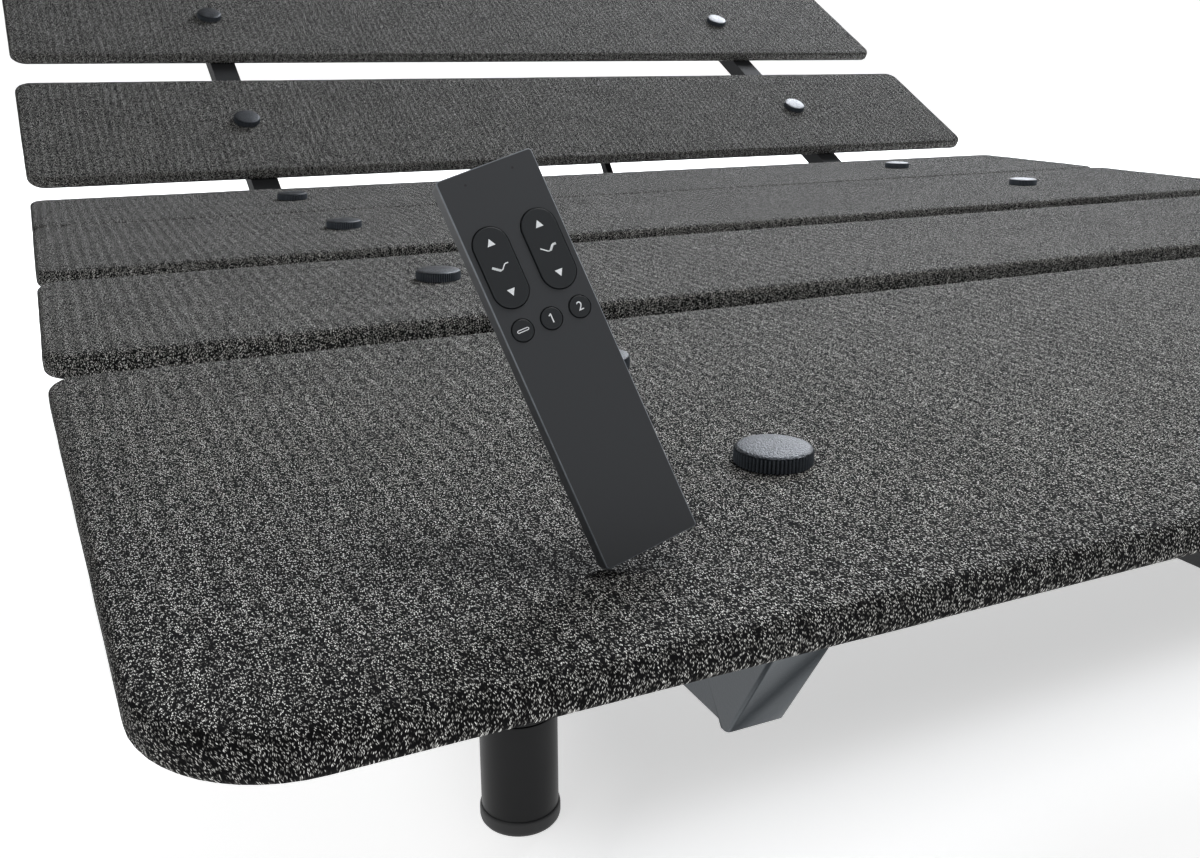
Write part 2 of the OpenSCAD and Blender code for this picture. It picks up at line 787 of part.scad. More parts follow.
module thigh_push_rod() color("silver") place() translate([-drive_x, thigh_pin_y, 0])
  mirror([0, 1, 0]) push_rod(thigh_tube_y0 - thigh_pin_y);

// control box under the foot cross beam and the mains inlet in its end
box_h = 46;
box_r = 8;
box_y = leg_end_inset - cross_beam_l / 2 - box_l;
flange_t = 6;
inlet_d = 12;
inlet_w = 28;
inlet_h = 20;
inlet_wall = 4;
inlet_rise = 12;

module control_box() color("#17181a") place()
  translate([-box_w / 2, box_y, beam_z]) {
    difference() {
      linear_extrude(box_h) {
        translate([box_r, 0]) square([box_w - 2 * box_r, box_l]);
        translate([0, box_r]) square([box_w, box_l - 2 * box_r]);
        for (x = [box_r, box_w - box_r]) for (y = [box_r, box_l - box_r])
          translate([x, y]) circle(r = box_r);
      }
      translate([box_w - inlet_d, (box_l - inlet_w) / 2, inlet_rise])
        cube([inlet_d + 1, inlet_w, inlet_h]);
    }
    translate([20, box_l - 10, cross_beam_z - beam_z - flange_t])
      cube([box_w - 40, 10 + cross_beam_l, flange_t]);
  }

module power_inlet() color("#0d0d0e") place()
  translate([box_w / 2 - inlet_d, box_y + (box_l - inlet_w) / 2, beam_z + inlet_rise]) difference() {
    cube([inlet_d - 1, inlet_w, inlet_h]);
    translate([inlet_wall, inlet_wall, inlet_wall])
      cube([inlet_d, inlet_w - 2 * inlet_wall, inlet_h - 2 * inlet_wall]);
  }

// ---------------------------------------------------------------- thigh

thigh_rail_y0 = knee_y + rail_cut;
thigh_rail_y1 = hip_y - rail_cut;
thigh_tube_ys = [thigh_y + 45, hip_y - thigh_root];

module thigh_rails() color("dimgray") place() both_sides() {
  deck_rail(thigh_rail_y0, thigh_rail_y1, [thigh_y + thigh_knob]);
  tongue(hip_y, thigh_rail_y1);
}

module thigh_cross_tubes() color("dimgray") place() for (y = thigh_tube_ys)
  tube_x(-rail_x + rail_w / 2, rail_x - rail_w / 2, y, rail_z, cross_w, rail_h, rail_wall);

module thigh_lever() color("dimgray") place() translate([-drive_x, hip_y, hinge_z]) mirror([0, 1, 0])
  lever(thigh_sweep, thigh_root);

module knee_cheeks() color("dimgray") place() both_sides() cheeks(knee_y, 1);

module knee_pins() color("silver") place() both_sides() hinge_pin(knee_y);

module thigh_board() color("burlywood") place()
  board(thigh_y, thigh_l, [thigh_knob]);

module thigh_cover() color("#2c2c2e") place()
  cover(thigh_y, thigh_l, [thigh_knob]);

module thigh_knobs() color("#18191b") place() knobs([thigh_y + thigh_knob]);

// ---------------------------------------------------------------- calf and foot

calf_rail_y0 = 40;
calf_tube_ys = [calf_rail_y0 + 60, foot_l - 74];
calf_weld = 24;

module calf_rails() color("dimgray") place() both_sides() {
  deck_rail(calf_rail_y0, knee_y - rail_cut, [foot_knob_1, foot_knob_2]);
  tongue(knee_y, knee_y - rail_cut);
}

module calf_cross_tubes() color("dimgray") place() for (y = calf_tube_ys)
  tube_x(-rail_x + rail_w / 2, rail_x - rail_w / 2, y, rail_z, cross_w, rail_h, rail_wall);

module calf_link_brackets() color("dimgray") place() pair() translate([0, knee_y, 0])
  mirror([0, 1, 0]) link_plate(rail_cut + calf_weld);

module foot_board() color("burlywood") place() translate([0, 0, panel_z]) difference() {
  foot_core();
  screw_holes([foot_knob_1, foot_knob_2]);
}

module foot_cover() color("#2c2c2e") place() translate([0, 0, panel_z]) difference() {
  foot_outside();
  foot_core();
  screw_holes([foot_knob_1, foot_knob_2]);
}

module foot_knobs() color("#18191b") place() knobs([foot_knob_1, foot_knob_2]);

// bars that keep the calf section level while the thigh section rises
module level_links() color("dimgray") place() pair()
  translate([link_x - link_t / 2, 0, link_z]) difference() {
    union() {
      translate([0, knee_y, -link_h / 2]) cube([link_t, hip_y - knee_y, link_h]);
      for (y = [knee_y, hip_y]) translate([0, y, 0]) rotate([0, 90, 0])
        cylinder(r = link_h / 2, h = link_t);
    }
    for (y = [knee_y, hip_y]) translate([-1, y, 0]) rotate([0, 90, 0])
      cylinder(r = link_pin_r + (y == hip_y ? pin_play : slot_play), h = link_t + 2);
  }

// ---------------------------------------------------------------- head

head_tube_ys = [head_hinge_y + head_root, head_y + head_lower_l - 40, head_end_rail_y - 30];
head_rows = [head_y + head_lower_knob, head_upper_y + head_knob_1, head_upper_y + head_knob_2];

module head_rails() color("dimgray") place_head() both_sides() {
  deck_rail(head_hinge_y + rail_cut, head_end_rail_y, head_rows);
  tongue(head_hinge_y, head_hinge_y + rail_cut);
}

module head_cross_tubes() color("dimgray") place_head()
  for (y = head_tube_ys)
    tube_x(-rail_x + rail_w / 2, rail_x - rail_w / 2, y, rail_z, cross_w, rail_h, rail_wall);

module head_lever() color("dimgray") place_head() translate([drive_x, head_hinge_y, hinge_z])
  lever(head_sweep, head_root);

module head_lower_board() color("burlywood") place_head()
  board(head_y, head_lower_l, [head_lower_knob]);

module head_lower_cover() color("#2c2c2e") place_head()
  cover(head_y, head_lower_l, [head_lower_knob]);

module head_upper_board() color("burlywood") place_head()
  board(head_upper_y, head_upper_l, [head_knob_1, head_knob_2]);

module head_upper_cover() color("#2c2c2e") place_head()
  cover(head_upper_y, head_upper_l, [head_knob_1, head_knob_2]);

module head_knobs() color("#18191b") place_head() knobs(head_rows);

// ---------------------------------------------------------------- handset

hs_corner_r = 1.4;
hs_edge_r = 0.6;
rocker_t = 2.2;
rocker_proud = 0.7;
button_proud = 0.5;

// the handset is drawn lying on its back, with its lower left corner at the origin, and stands on
// the deck on that corner
hs_touch_z = hs_t * cos(hs_lean_deg) * cos(hs_roll_deg);

module place_handset() {
  place() translate([-deck_w / 2 + hs_x, hs_y, deck_z + hs_touch_z])
    rotate([hs_lean_deg, -hs_roll_deg, 0]) translate([0, 0, -hs_t]) children();
}

module pill(w, l, h) {
  r = w / 2;
  translate([-r, -l / 2 + r, 0]) cube([w, l - w, h]);
  for (s = [-1, 1]) translate([0, s * (l / 2 - r), 0]) cylinder(r = r, h = h);
}

module handset_shell() color("#26272a") place_handset() difference() {
  translate([hs_w / 2, 0, 0]) slab(hs_w, hs_l, hs_corner_r, hs_t, hs_edge_r);
  for (s = [-1, 1]) translate([hs_w / 2 + s * rocker_pitch / 2, rocker_y, hs_t - rocker_t - key_gap])
    pill(rocker_w + 2 * key_play, rocker_l + 2 * key_play, hs_t);
  for (i = [-1 : 1]) translate([hs_w / 2 + i * button_pitch, button_y, hs_t - rocker_t - key_gap])
    cylinder(r = button_r + key_play, h = hs_t);
}

module rocker(side) {
  place_handset() translate([hs_w / 2 + side * rocker_pitch / 2, rocker_y, hs_t - rocker_t])
    pill(rocker_w, rocker_l, rocker_t + rocker_proud);
}

module rocker_head() color("#1b1c1e") rocker(-1);

module rocker_legs() color("#1b1c1e") rocker(1);

module button(i) {
  place_handset() translate([hs_w / 2 + i * button_pitch, button_y, hs_t - rocker_t])
    cylinder(r = button_r, h = rocker_t + button_proud);
}

module button_flat() color("#1b1c1e") button(-1);

module button_one() color("#1b1c1e") button(0);

module button_two() color("#1b1c1e") button(1);

side_rails();
foot_rail_caps();
head_rail_caps();
cross_beams();
leg_brackets();
legs_upper();
legs_lower();
leg_caps();
deck_posts();
deck_pads();
seat_uprights();
seat_rails();
seat_cross_tubes();
seat_hinge_cheeks();
seat_hinge_pins();
link_brackets();
seat_front_board();
seat_front_cover();
seat_rear_board();
seat_rear_cover();
seat_knobs();
head_drive_tube();
head_drive_motor();
thigh_drive_tube();
thigh_drive_motor();
drive_clamps();
control_box();
power_inlet();
thigh_rails();
thigh_cross_tubes();
thigh_lever();
knee_cheeks();
knee_pins();
thigh_board();
thigh_cover();
thigh_knobs();
calf_rails();
calf_cross_tubes();
calf_link_brackets();
foot_board();
foot_cover();
foot_knobs();
level_links();
head_rails();
head_cross_tubes();
head_lever();
head_lower_board();
head_lower_cover();
head_upper_board();
head_upper_cover();
head_knobs();
head_push_rod();
thigh_push_rod();
handset_shell();
rocker_head();
rocker_legs();
button_flat();
button_one();
button_two();
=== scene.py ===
# Adjustable bed base, queen size: six upholstered boards on a hinged steel deck frame, a chassis
# on six stacked round legs, two push-rod drives, a control box and a handset. Lengths in metres.
import json
import math

import bmesh
import bpy
from mathutils import Matrix, Vector, noise

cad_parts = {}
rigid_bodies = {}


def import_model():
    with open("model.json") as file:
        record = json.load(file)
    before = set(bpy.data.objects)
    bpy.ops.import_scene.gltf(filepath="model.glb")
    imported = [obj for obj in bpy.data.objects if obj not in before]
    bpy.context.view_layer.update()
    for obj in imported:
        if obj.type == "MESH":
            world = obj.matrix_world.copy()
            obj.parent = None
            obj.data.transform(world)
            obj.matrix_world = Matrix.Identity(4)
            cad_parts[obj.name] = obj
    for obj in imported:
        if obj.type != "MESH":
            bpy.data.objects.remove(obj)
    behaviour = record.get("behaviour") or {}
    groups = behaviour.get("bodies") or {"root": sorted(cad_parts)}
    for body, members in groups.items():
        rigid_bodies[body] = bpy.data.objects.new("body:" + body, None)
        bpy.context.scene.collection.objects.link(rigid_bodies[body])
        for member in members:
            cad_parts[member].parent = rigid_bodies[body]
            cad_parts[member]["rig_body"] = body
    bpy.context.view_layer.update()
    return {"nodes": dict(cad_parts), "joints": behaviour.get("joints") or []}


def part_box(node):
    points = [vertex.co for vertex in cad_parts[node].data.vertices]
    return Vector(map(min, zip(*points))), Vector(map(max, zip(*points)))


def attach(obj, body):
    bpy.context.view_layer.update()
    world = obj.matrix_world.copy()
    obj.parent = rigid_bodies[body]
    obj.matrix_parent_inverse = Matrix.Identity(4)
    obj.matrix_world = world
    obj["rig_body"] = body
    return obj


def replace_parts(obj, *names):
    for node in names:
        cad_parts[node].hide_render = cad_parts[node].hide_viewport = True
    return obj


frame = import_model()
nodes = frame["nodes"]
joints = {joint["name"]: joint for joint in frame["joints"]}

# ---------------------------------------------------------------- chassis
# The chassis is welded from cold-rolled steel tube and folded sheet, with the small corner radius
# that rolling leaves, and is powder coated a blue-grey. The coat has a fine orange peel and goes
# a little glossier where it pooled.


def linear(code):
    """An sRGB hex colour as linear RGBA."""
    channels = [int(code[i:i + 2], 16) / 255 for i in (1, 3, 5)]
    return [c / 12.92 if c <= 0.04045 else ((c + 0.055) / 1.055) ** 2.4 for c in channels] + [1]


def feed(node, inputs):
    """Sets a node's inputs: a socket is linked, anything else is its value."""
    for key, value in inputs.items():
        if isinstance(value, bpy.types.NodeSocket):
            node.id_data.links.new(value, node.inputs[key])
        else:
            node.inputs[key].default_value = value
    return node


def add(material, kind, inputs=None, **settings):
    """Adds a node of that kind to a material, with its settings and inputs."""
    node = material.node_tree.nodes.new("ShaderNode" + kind)
    for key, value in settings.items():
        setattr(node, key, value)
    return feed(node, inputs or {})


def finish(name, **sockets):
    """A new material, its shader with these values, and the place on the piece."""
    material = bpy.data.materials.new(name)
    material.use_nodes = True
    shader = material.node_tree.nodes["Principled BSDF"]
    feed(shader, {socket.replace("_", " "): value for socket, value in sockets.items()})
    return material, shader, add(material, "TexCoord").outputs["Object"]


# electrostatic powder coat on steel: a satin dielectric skin with 1.5 mm orange peel
powder_coat, shader, place = finish("powder-coated steel", IOR=1.5)
clouds = add(powder_coat, "TexNoise", {"Vector": place, "Scale": 11, "Detail": 3})
peel = add(powder_coat, "TexNoise", {"Vector": place, "Scale": 1 / 0.0015, "Detail": 2})
grit = add(powder_coat, "TexNoise", {"Vector": place, "Scale": 1 / 0.0006, "Detail": 1})
tone = add(powder_coat, "Mix", {0: clouds.outputs["Fac"], 6: linear("#373C41"), 7: linear("#41474C")},
           data_type="RGBA")
fleck = add(powder_coat, "MapRange", {"Value": grit.outputs["Fac"], "From Min": 0.62, "From Max": 0.75,
                                      "To Min": 0, "To Max": 0.15})
speckled = add(powder_coat, "Mix", {0: fleck.outputs[0], 6: tone.outputs[2], 7: linear("#7B828A")},
               data_type="RGBA")
gloss = add(powder_coat, "MapRange", {"Value": clouds.outputs["Fac"], "To Min": 0.36, "To Max": 0.5})
skin = add(powder_coat, "Bump", {"Height": peel.outputs["Fac"], "Strength": 0.35, "Distance": 0.0003})
feed(shader, {"Base Color": speckled.outputs[2], "Roughness": gloss.outputs[0],
              "Normal": skin.outputs["Normal"]})


def piece(name, shape, body, slot, *materials):
    """Makes an object of a finished shape and lets it ride on a CAD body."""
    mesh = bpy.data.meshes.new(name)
    shape.to_mesh(mesh)
    shape.free()
    mesh.shade_smooth()
    mesh.set_sharp_from_angle(angle=math.radians(35))
    for material in materials:
        mesh.materials.append(material)
    made = bpy.data.objects.new(name, mesh)
    bpy.context.scene.collection.objects.link(made)
    made.modifiers.new("even shading", "WEIGHTED_NORMAL").keep_sharp = True
    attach(made, body)
    return made


def rolled(name, axis, corner, edge, material, slot="frame_steel"):
    """A CAD node's own shape, finished: corner rounds the edges along its axis, edge the others."""
    shape = bmesh.new()
    shape.from_mesh(nodes[name].data)
    bmesh.ops.remove_doubles(shape, verts=shape.verts, dist=1e-6)
    bmesh.ops.dissolve_limit(shape, angle_limit=math.radians(1), verts=shape.verts, edges=shape.edges)
    axis = Vector(axis).normalized()
    for radius, along in ((corner, True), (edge, False)):
        chosen = [
            e for e in shape.edges
            if e.is_manifold and e.is_convex and e.calc_face_angle() > math.radians(50)
            and (abs((e.verts[0].co - e.verts[1].co).normalized().dot(axis)) > 0.99) == along
        ]
        if chosen and radius:
            bmesh.ops.bevel(shape, geom=chosen, offset=radius, offset_type="OFFSET", affect="EDGES",
                            segments=3 if along else 2, profile=0.5, material=-1, clamp_overlap=True)
    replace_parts(piece(name + "_finished", shape, nodes[name]["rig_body"], slot, material), name)


ALONG, ACROSS, UPRIGHT = (0, 1, 0), (1, 0, 0), (0, 0, 1)
# the side members end in a bevel that leans 31 degrees from upright
FOOT_BEVEL, HEAD_BEVEL = (0, -0.515, 0.857), (0, 0.515, 0.857)
rolled("side_rails", ALONG, 0.003, 0.0005, powder_coat)
rolled("foot_rail_caps", FOOT_BEVEL, 0.0024, 0.0006, powder_coat)
rolled("head_rail_caps", HEAD_BEVEL, 0.0024, 0.0006, powder_coat)
rolled("cross_beams", ACROSS, 0.003, 0.0005, powder_coat)
rolled("leg_brackets", ACROSS, 0.002, 0.001, powder_coat)
rolled("deck_posts", UPRIGHT, 0.0025, 0.0005, powder_coat)
rolled("seat_uprights", UPRIGHT, 0.003, 0.0005, powder_coat)

# ---------------------------------------------------------------- legs
# Each leg is two 76 mm lengths of 50 mm round tube that screw into each other, with a rolled rim
# at each end, so the joint shows as a thin dark line. A moulded cap is pressed on its foot.

LEG_R = 0.025
TUBE_L = 0.076
CAP_R = 0.0262
CAP_FLOOR = 0.004
SCREW_R = 0.0049

# satin black powder coat with a very fine sand texture
black_coat, shader, place = finish("satin black powder coat", IOR=1.5, Specular_IOR_Level=0.22)
sand = add(black_coat, "TexNoise", {"Vector": place, "Scale": 1 / 0.0008, "Detail": 3})
rub = add(black_coat, "TexNoise", {"Vector": place, "Scale": 25, "Detail": 4})
tone = add(black_coat, "Mix", {0: rub.outputs["Fac"], 6: linear("#0B0C0D"), 7: linear("#131416")},
           data_type="RGBA")
gloss = add(black_coat, "MapRange", {"Value": rub.outputs["Fac"], "To Min": 0.3, "To Max": 0.44})
skin = add(black_coat, "Bump", {"Height": sand.outputs["Fac"], "Strength": 0.3, "Distance": 0.0002})
feed(shader, {"Base Color": tone.outputs[2], "Roughness": gloss.outputs[0],
              "Normal": skin.outputs["Normal"]})

# injection-moulded polypropylene with a spark-eroded texture of about half a millimetre
polypropylene, shader, place = finish("black polypropylene", Base_Color=linear("#131416"), IOR=1.49)
erosion = add(polypropylene, "TexNoise", {"Vector": place, "Scale": 1 / 0.0005, "Detail": 3})
skin = add(polypropylene, "Bump", {"Height": erosion.outputs["Fac"], "Strength": 0.4, "Distance": 0.0002})
shade = add(polypropylene, "MapRange", {"Value": erosion.outputs["Fac"], "To Min": 0.42, "To Max": 0.6})
feed(shader, {"Roughness": shade.outputs[0], "Normal": skin.outputs["Normal"]})


def untagged(shape):
    """The vertices of the faces that were added last."""
    return list({vert for face in shape.faces if not face.tag for vert in face.verts})


def turned(shape, profile, centre, steps=64):
    """Spins a profile of (radius, height) points round a vertical line through centre."""
    points = [shape.verts.new((radius, 0, height)) for radius, height in profile]
    edges = [shape.edges.new(pair) for pair in zip(points, points[1:])]
    bmesh.ops.spin(shape, geom=points + edges, cent=(0, 0, 0), axis=(0, 0, 1), angle=math.tau,
                   steps=steps, use_merge=True)
    bmesh.ops.remove_doubles(shape, verts=untagged(shape), dist=1e-6)
    bmesh.ops.translate(shape, verts=untagged(shape), vec=centre)
    for face in shape.faces:
        face.tag = True


def leg_places():
    """Where the six legs stand, from the caps' own box."""
    low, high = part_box("leg_caps")
    for x in (low.x + CAP_R, high.x - CAP_R):
        for y in (low.y + CAP_R, (low.y + high.y) / 2, high.y - CAP_R):
            yield x, y


def rim_tube(base):
    """Profile of one tube: its lower rim, its wall, its upper rim and the screw on its top."""
    r, top = LEG_R, base + TUBE_L
    return [(0.0055, base + 0.0005), (r - 0.0035, base + 0.0005), (r - 0.0014, base + 0.0002),
            (r - 0.0005, base + 0.0005), (r, base + 0.0016), (r, base + 0.01),
            (r, top - 0.01), (r, top - 0.0016), (r - 0.0005, top - 0.0005), (r - 0.0014, top - 0.0002),
            (r - 0.004, top), (SCREW_R + 0.0003, top),
            (SCREW_R, top + 0.001), (SCREW_R, top + 0.0135), (SCREW_R - 0.0009, top + 0.0148),
            (0, top + 0.015)]


for name, base in (("legs_lower", CAP_FLOOR), ("legs_upper", CAP_FLOOR + TUBE_L)):
    shape = bmesh.new()
    for x, y in leg_places():
        turned(shape, rim_tube(base), (x, y, 0))
    bmesh.ops.recalc_face_normals(shape, faces=shape.faces)
    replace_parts(piece(name + "_finished", shape, "chassis", "leg_steel", black_coat), name)

shape = bmesh.new()
for x, y in leg_places():
    turned(shape, [(0, 0.0), (0.0215, 0.0), (0.0232, 0.0003), (0.0248, 0.0012), (0.0258, 0.0026),
                   (CAP_R, 0.0044), (CAP_R, 0.0096), (0.0260, 0.0108), (0.0256, 0.0116),
                   (0.0251, 0.012), (0.0248, 0.0117), (0.0248, 0.0042), (0, 0.0042)], (x, y, 0))
bmesh.ops.recalc_face_normals(shape, faces=shape.faces)
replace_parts(piece("leg_caps_finished", shape, "chassis", "foot_cap", polypropylene), "leg_caps")

# ---------------------------------------------------------------- rests
# Soft rubber blocks take the deck rails when a section lies flat. Each is pressed on the top of a
# post that is welded to the side member.

# EPDM rubber: dull, nearly black, with a faint bloom
rubber, shader, place = finish("EPDM rubber", Roughness=0.8, IOR=1.52)
bloom = add(rubber, "TexNoise", {"Vector": place, "Scale": 60, "Detail": 5})
tone = add(rubber, "Mix", {0: bloom.outputs["Fac"], 6: linear("#141414"), 7: linear("#242425")},
           data_type="RGBA")
skin = add(rubber, "Bump", {"Height": bloom.outputs["Fac"], "Strength": 0.2, "Distance": 0.0005})
feed(shader, {"Base Color": tone.outputs[2], "Normal": skin.outputs["Normal"]})
rolled("deck_pads", UPRIGHT, 0.0015, 0.001, rubber, "pad_rubber")

# ---------------------------------------------------------------- deck frame
# Four sections of 36 by 25 mm tube, each with two rails and its cross tubes. The rails end in
# tongues that swing between cheek plates; the plates, links and levers are laser-cut sheet.

head_hinge = Vector(joints["head_hinge"]["pos_m"])
head_lean = -math.radians(joints["head_hinge"]["range_deg"][0])
raise_head = (Matrix.Translation(head_hinge) @ Matrix.Rotation(head_lean, 4, "X")
              @ Matrix.Translation(-head_hinge))
UP_THE_HEAD = raise_head.to_3x3() @ Vector(ALONG)

# textured powder coat, near black and darker than the chassis coat; the dark stands partly for painted shade
# that the boards cast on the deck frame. It is matt, with a coarse wrinkle of 1.2 mm that hides weld marks
wrinkle_coat_with_painted_shade, shader, place = finish("textured black powder coat with painted shade", Roughness=0.72, IOR=1.5,
                                     Specular_IOR_Level=0.2)
wrinkle = add(wrinkle_coat_with_painted_shade, "TexNoise", {"Vector": place, "Scale": 1 / 0.0012, "Detail": 2})
tone = add(wrinkle_coat_with_painted_shade, "Mix", {0: wrinkle.outputs["Fac"], 6: linear("#151617"), 7: linear("#202123")},
           data_type="RGBA")
skin = add(wrinkle_coat_with_painted_shade, "Bump", {"Height": wrinkle.outputs["Fac"], "Strength": 0.5, "Distance": 0.0004})
feed(shader, {"Base Color": tone.outputs[2], "Normal": skin.outputs["Normal"]})

for name in ("seat_rails", "thigh_rails", "calf_rails"):
    rolled(name, ALONG, 0.0025, 0.0005, wrinkle_coat_with_painted_shade, "deck_steel")
rolled("head_rails", UP_THE_HEAD, 0.0025, 0.0005, wrinkle_coat_with_painted_shade, "deck_steel")
for name in ("seat_cross_tubes", "thigh_cross_tubes", "calf_cross_tubes", "head_cross_tubes"):
    rolled(name, ACROSS, 0.0025, 0.0005, wrinkle_coat_with_painted_shade, "deck_steel")
for name in ("seat_hinge_cheeks", "knee_cheeks", "link_brackets", "calf_link_brackets", "level_links",
             "thigh_lever", "head_lever"):
    rolled(name, ACROSS, 0.0006, 0.0006, wrinkle_coat_with_painted_shade, "deck_steel")

# ---------------------------------------------------------------- pins
# The hinge pins are turned steel with low heads, and the drives' push rods are drawn steel with a
# fork on the end. All are zinc plated and clear passivated, so slightly blue.

# zinc on turned steel: a metal with fine rings from the lathe, 0.4 mm apart
zinc, shader, place = finish("zinc-plated steel", Base_Color=linear("#C3C8CE"), Metallic=1.0)
tarnish = add(zinc, "TexNoise", {"Vector": place, "Scale": 90, "Detail": 4})
rings = add(zinc, "Mapping", {"Vector": place, "Scale": (1 / 0.0004, 40, 40)}).outputs[0]
lathe = add(zinc, "TexNoise", {"Vector": rings, "Scale": 1, "Detail": 1})
gloss = add(zinc, "MapRange", {"Value": tarnish.outputs["Fac"], "To Min": 0.22, "To Max": 0.42})
skin = add(zinc, "Bump", {"Height": lathe.outputs["Fac"], "Strength": 0.15, "Distance": 0.0001})
feed(shader, {"Roughness": gloss.outputs[0], "Normal": skin.outputs["Normal"]})
for name in ("seat_hinge_pins", "knee_pins", "head_push_rod", "thigh_push_rod"):
    rolled(name, ACROSS, 0.0004, 0.0004, zinc, "plated_steel")

# ---------------------------------------------------------------- boards
# Each board is a plywood core with a thin felt on it, wrapped tightly in a knitted cover that is
# turned in and stapled underneath, where a black non-woven closes it. The wrap rounds the edges
# and is a little fuller along them than in the middle, and the hand knobs press into it.

# birch plywood, seen only at the screw holes: pale, with long fine grain across the bed
plywood, shader, place = finish("birch plywood", Roughness=0.65, IOR=1.5)
fibres = add(plywood, "Mapping", {"Vector": place, "Scale": (4, 160, 700)}).outputs[0]
grain = add(plywood, "TexNoise", {"Vector": fibres, "Scale": 1, "Detail": 4})
tone = add(plywood, "Mix", {0: grain.outputs["Fac"], 6: linear("#A98963"), 7: linear("#CDB189")},
           data_type="RGBA")
skin = add(plywood, "Bump", {"Height": grain.outputs["Fac"], "Strength": 0.2, "Distance": 0.0003})
feed(shader, {"Base Color": tone.outputs[2], "Normal": skin.outputs["Normal"]})
for name in ("seat_front_board", "seat_rear_board", "thigh_board", "foot_board", "head_lower_board",
             "head_upper_board"):
    nodes[name].data.materials.clear()
    nodes[name].data.materials.append(plywood)

# polyester double knit of a black yarn twisted with a light-grey one: the light ply surfaces as
# strokes 0.55 mm wide and 1.8 mm long that slant both ways, so the cloth looks salt-and-pepper, and
# its strokes run down the edges of the boards
STROKE_W = 0.00055
STROKE_L = 0.0018
SLANTS = (0.38, -0.3)
RIB_W = 0.010
knit, shader, place = finish("polyester double knit", Roughness=0.95, IOR=1.45, Specular_IOR_Level=0.08)
cloth = add(knit, "UVMap", uv_map="cloth").outputs["UV"]
strokes = []
for slant in SLANTS:
    laid = add(knit, "Mapping", {"Vector": cloth, "Location": (slant, slant, 0), "Rotation": (0, 0, slant),
                                 "Scale": (STROKE_W, STROKE_L, 1)}, vector_type="TEXTURE").outputs[0]
    twist = add(knit, "TexNoise", {"Vector": laid, "Scale": 0.7, "Detail": 1}, noise_dimensions="2D")
    pull = add(knit, "VectorMath", {0: twist.outputs["Color"], 1: (0.45, 0.45, 0), 2: laid},
               operation="MULTIPLY_ADD").outputs[0]
    loops = add(knit, "TexVoronoi", {"Vector": pull, "Scale": 1, "Randomness": 0.7}, voronoi_dimensions="2D")
    crown = add(knit, "MapRange", {"Value": loops.outputs["Distance"], "From Min": 0.05, "From Max": 0.46,
                                   "To Min": 1, "To Max": 0}, interpolation_type="SMOOTHSTEP")
    ply = add(knit, "SeparateColor", {0: loops.outputs["Color"]})
    share = add(knit, "MapRange", {"Value": ply.outputs[0], "From Min": 0.35, "From Max": 0.95})
    strokes.append(add(knit, "Math", {0: share.outputs[0], 1: crown.outputs[0]}, operation="MULTIPLY"))
lit = add(knit, "Math", {0: strokes[0].outputs[0], 1: strokes[1].outputs[0]}, operation="MAXIMUM")
yarn = add(knit, "ValToRGB", {0: lit.outputs[0]})
ramp = yarn.color_ramp
ramp.elements[0].position, ramp.elements[0].color = 0.0, linear("#0F0F10")
ramp.elements[1].position, ramp.elements[1].color = 0.95, linear("#FBFBF8")
for position, code in ((0.13, "#1B1B1B"), (0.36, "#6C6B68"), (0.62, "#BEBDB9")):
    ramp.elements.new(position).color = linear(code)
# the machine's needle rows leave faint lengthwise ribs, and the dye takes a little unevenly; a wave
# texture of scale 1 repeats every tau / 20
ribs = add(knit, "TexWave", {"Vector": cloth, "Scale": math.tau / 20 / RIB_W, "Distortion": 1.2,
                             "Detail": 2, "Detail Scale": 3}, wave_type="BANDS", bands_direction="X")
patches = add(knit, "TexNoise", {"Vector": cloth, "Scale": 14, "Detail": 3}, noise_dimensions="2D")
shade = add(knit, "Math", {0: ribs.outputs["Fac"], 1: 0.34, 2: 0.54}, operation="MULTIPLY_ADD")
shade = add(knit, "Math", {0: patches.outputs["Fac"], 1: 0.24, 2: shade.outputs[0]}, operation="MULTIPLY_ADD")
colour = add(knit, "VectorMath", {0: yarn.outputs["Color"], "Scale": shade.outputs[0]}, operation="SCALE")
skin = add(knit, "Bump", {"Height": lit.outputs[0], "Strength": 0.7, "Distance": 0.0004})
feed(shader, {"Base Color": colour.outputs[0], "Normal": skin.outputs["Normal"]})

# spun-bonded polypropylene: a thin black felt with a 2.5 mm grid of bonding points
non_woven, shader, place = finish("spun-bonded non-woven", Roughness=0.95, IOR=1.45)
bonds = add(non_woven, "TexVoronoi", {"Vector": place, "Scale": 1 / 0.0025, "Randomness": 0.15})
skin = add(non_woven, "Bump", {"Height": bonds.outputs["Distance"], "Strength": 0.6, "Distance": 0.0004})
tone = add(non_woven, "Mix", {0: bonds.outputs["Distance"], 6: linear("#0E0E0F"), 7: linear("#222223")},
           data_type="RGBA")
feed(shader, {"Base Color": tone.outputs[2], "Normal": skin.outputs["Normal"]})

BOARD_T = 0.016
EDGE_R = 0.005
CORNER_R = 0.022
FOOT_CORNER_R = 0.048
TAPER = 0.014
HEM_W = 0.045
RIM_BANDS = (0.004, 0.005, 0.005)
CUTS_ACROSS, CUTS_ALONG = 60, 16
# the cover lies unevenly by SLACK (how far, how often a metre), stands up by FULLNESS half way
# through the FULL_W along its rim, and sinks by DENT under a knob
SLACK = ((0.00022, 28), (0.00012, 90))
FULLNESS, FULL_W = 0.0007, 0.05
DENT, DENT_R = 0.0006, 0.028


def flat_box(name, lowered):
    """A CAD node's box with its section lying flat."""
    spots = [lowered @ v.co for v in nodes[name].data.vertices]
    return (Vector([min(p[i] for p in spots) for i in range(3)]),
            Vector([max(p[i] for p in spots) for i in range(3)]))


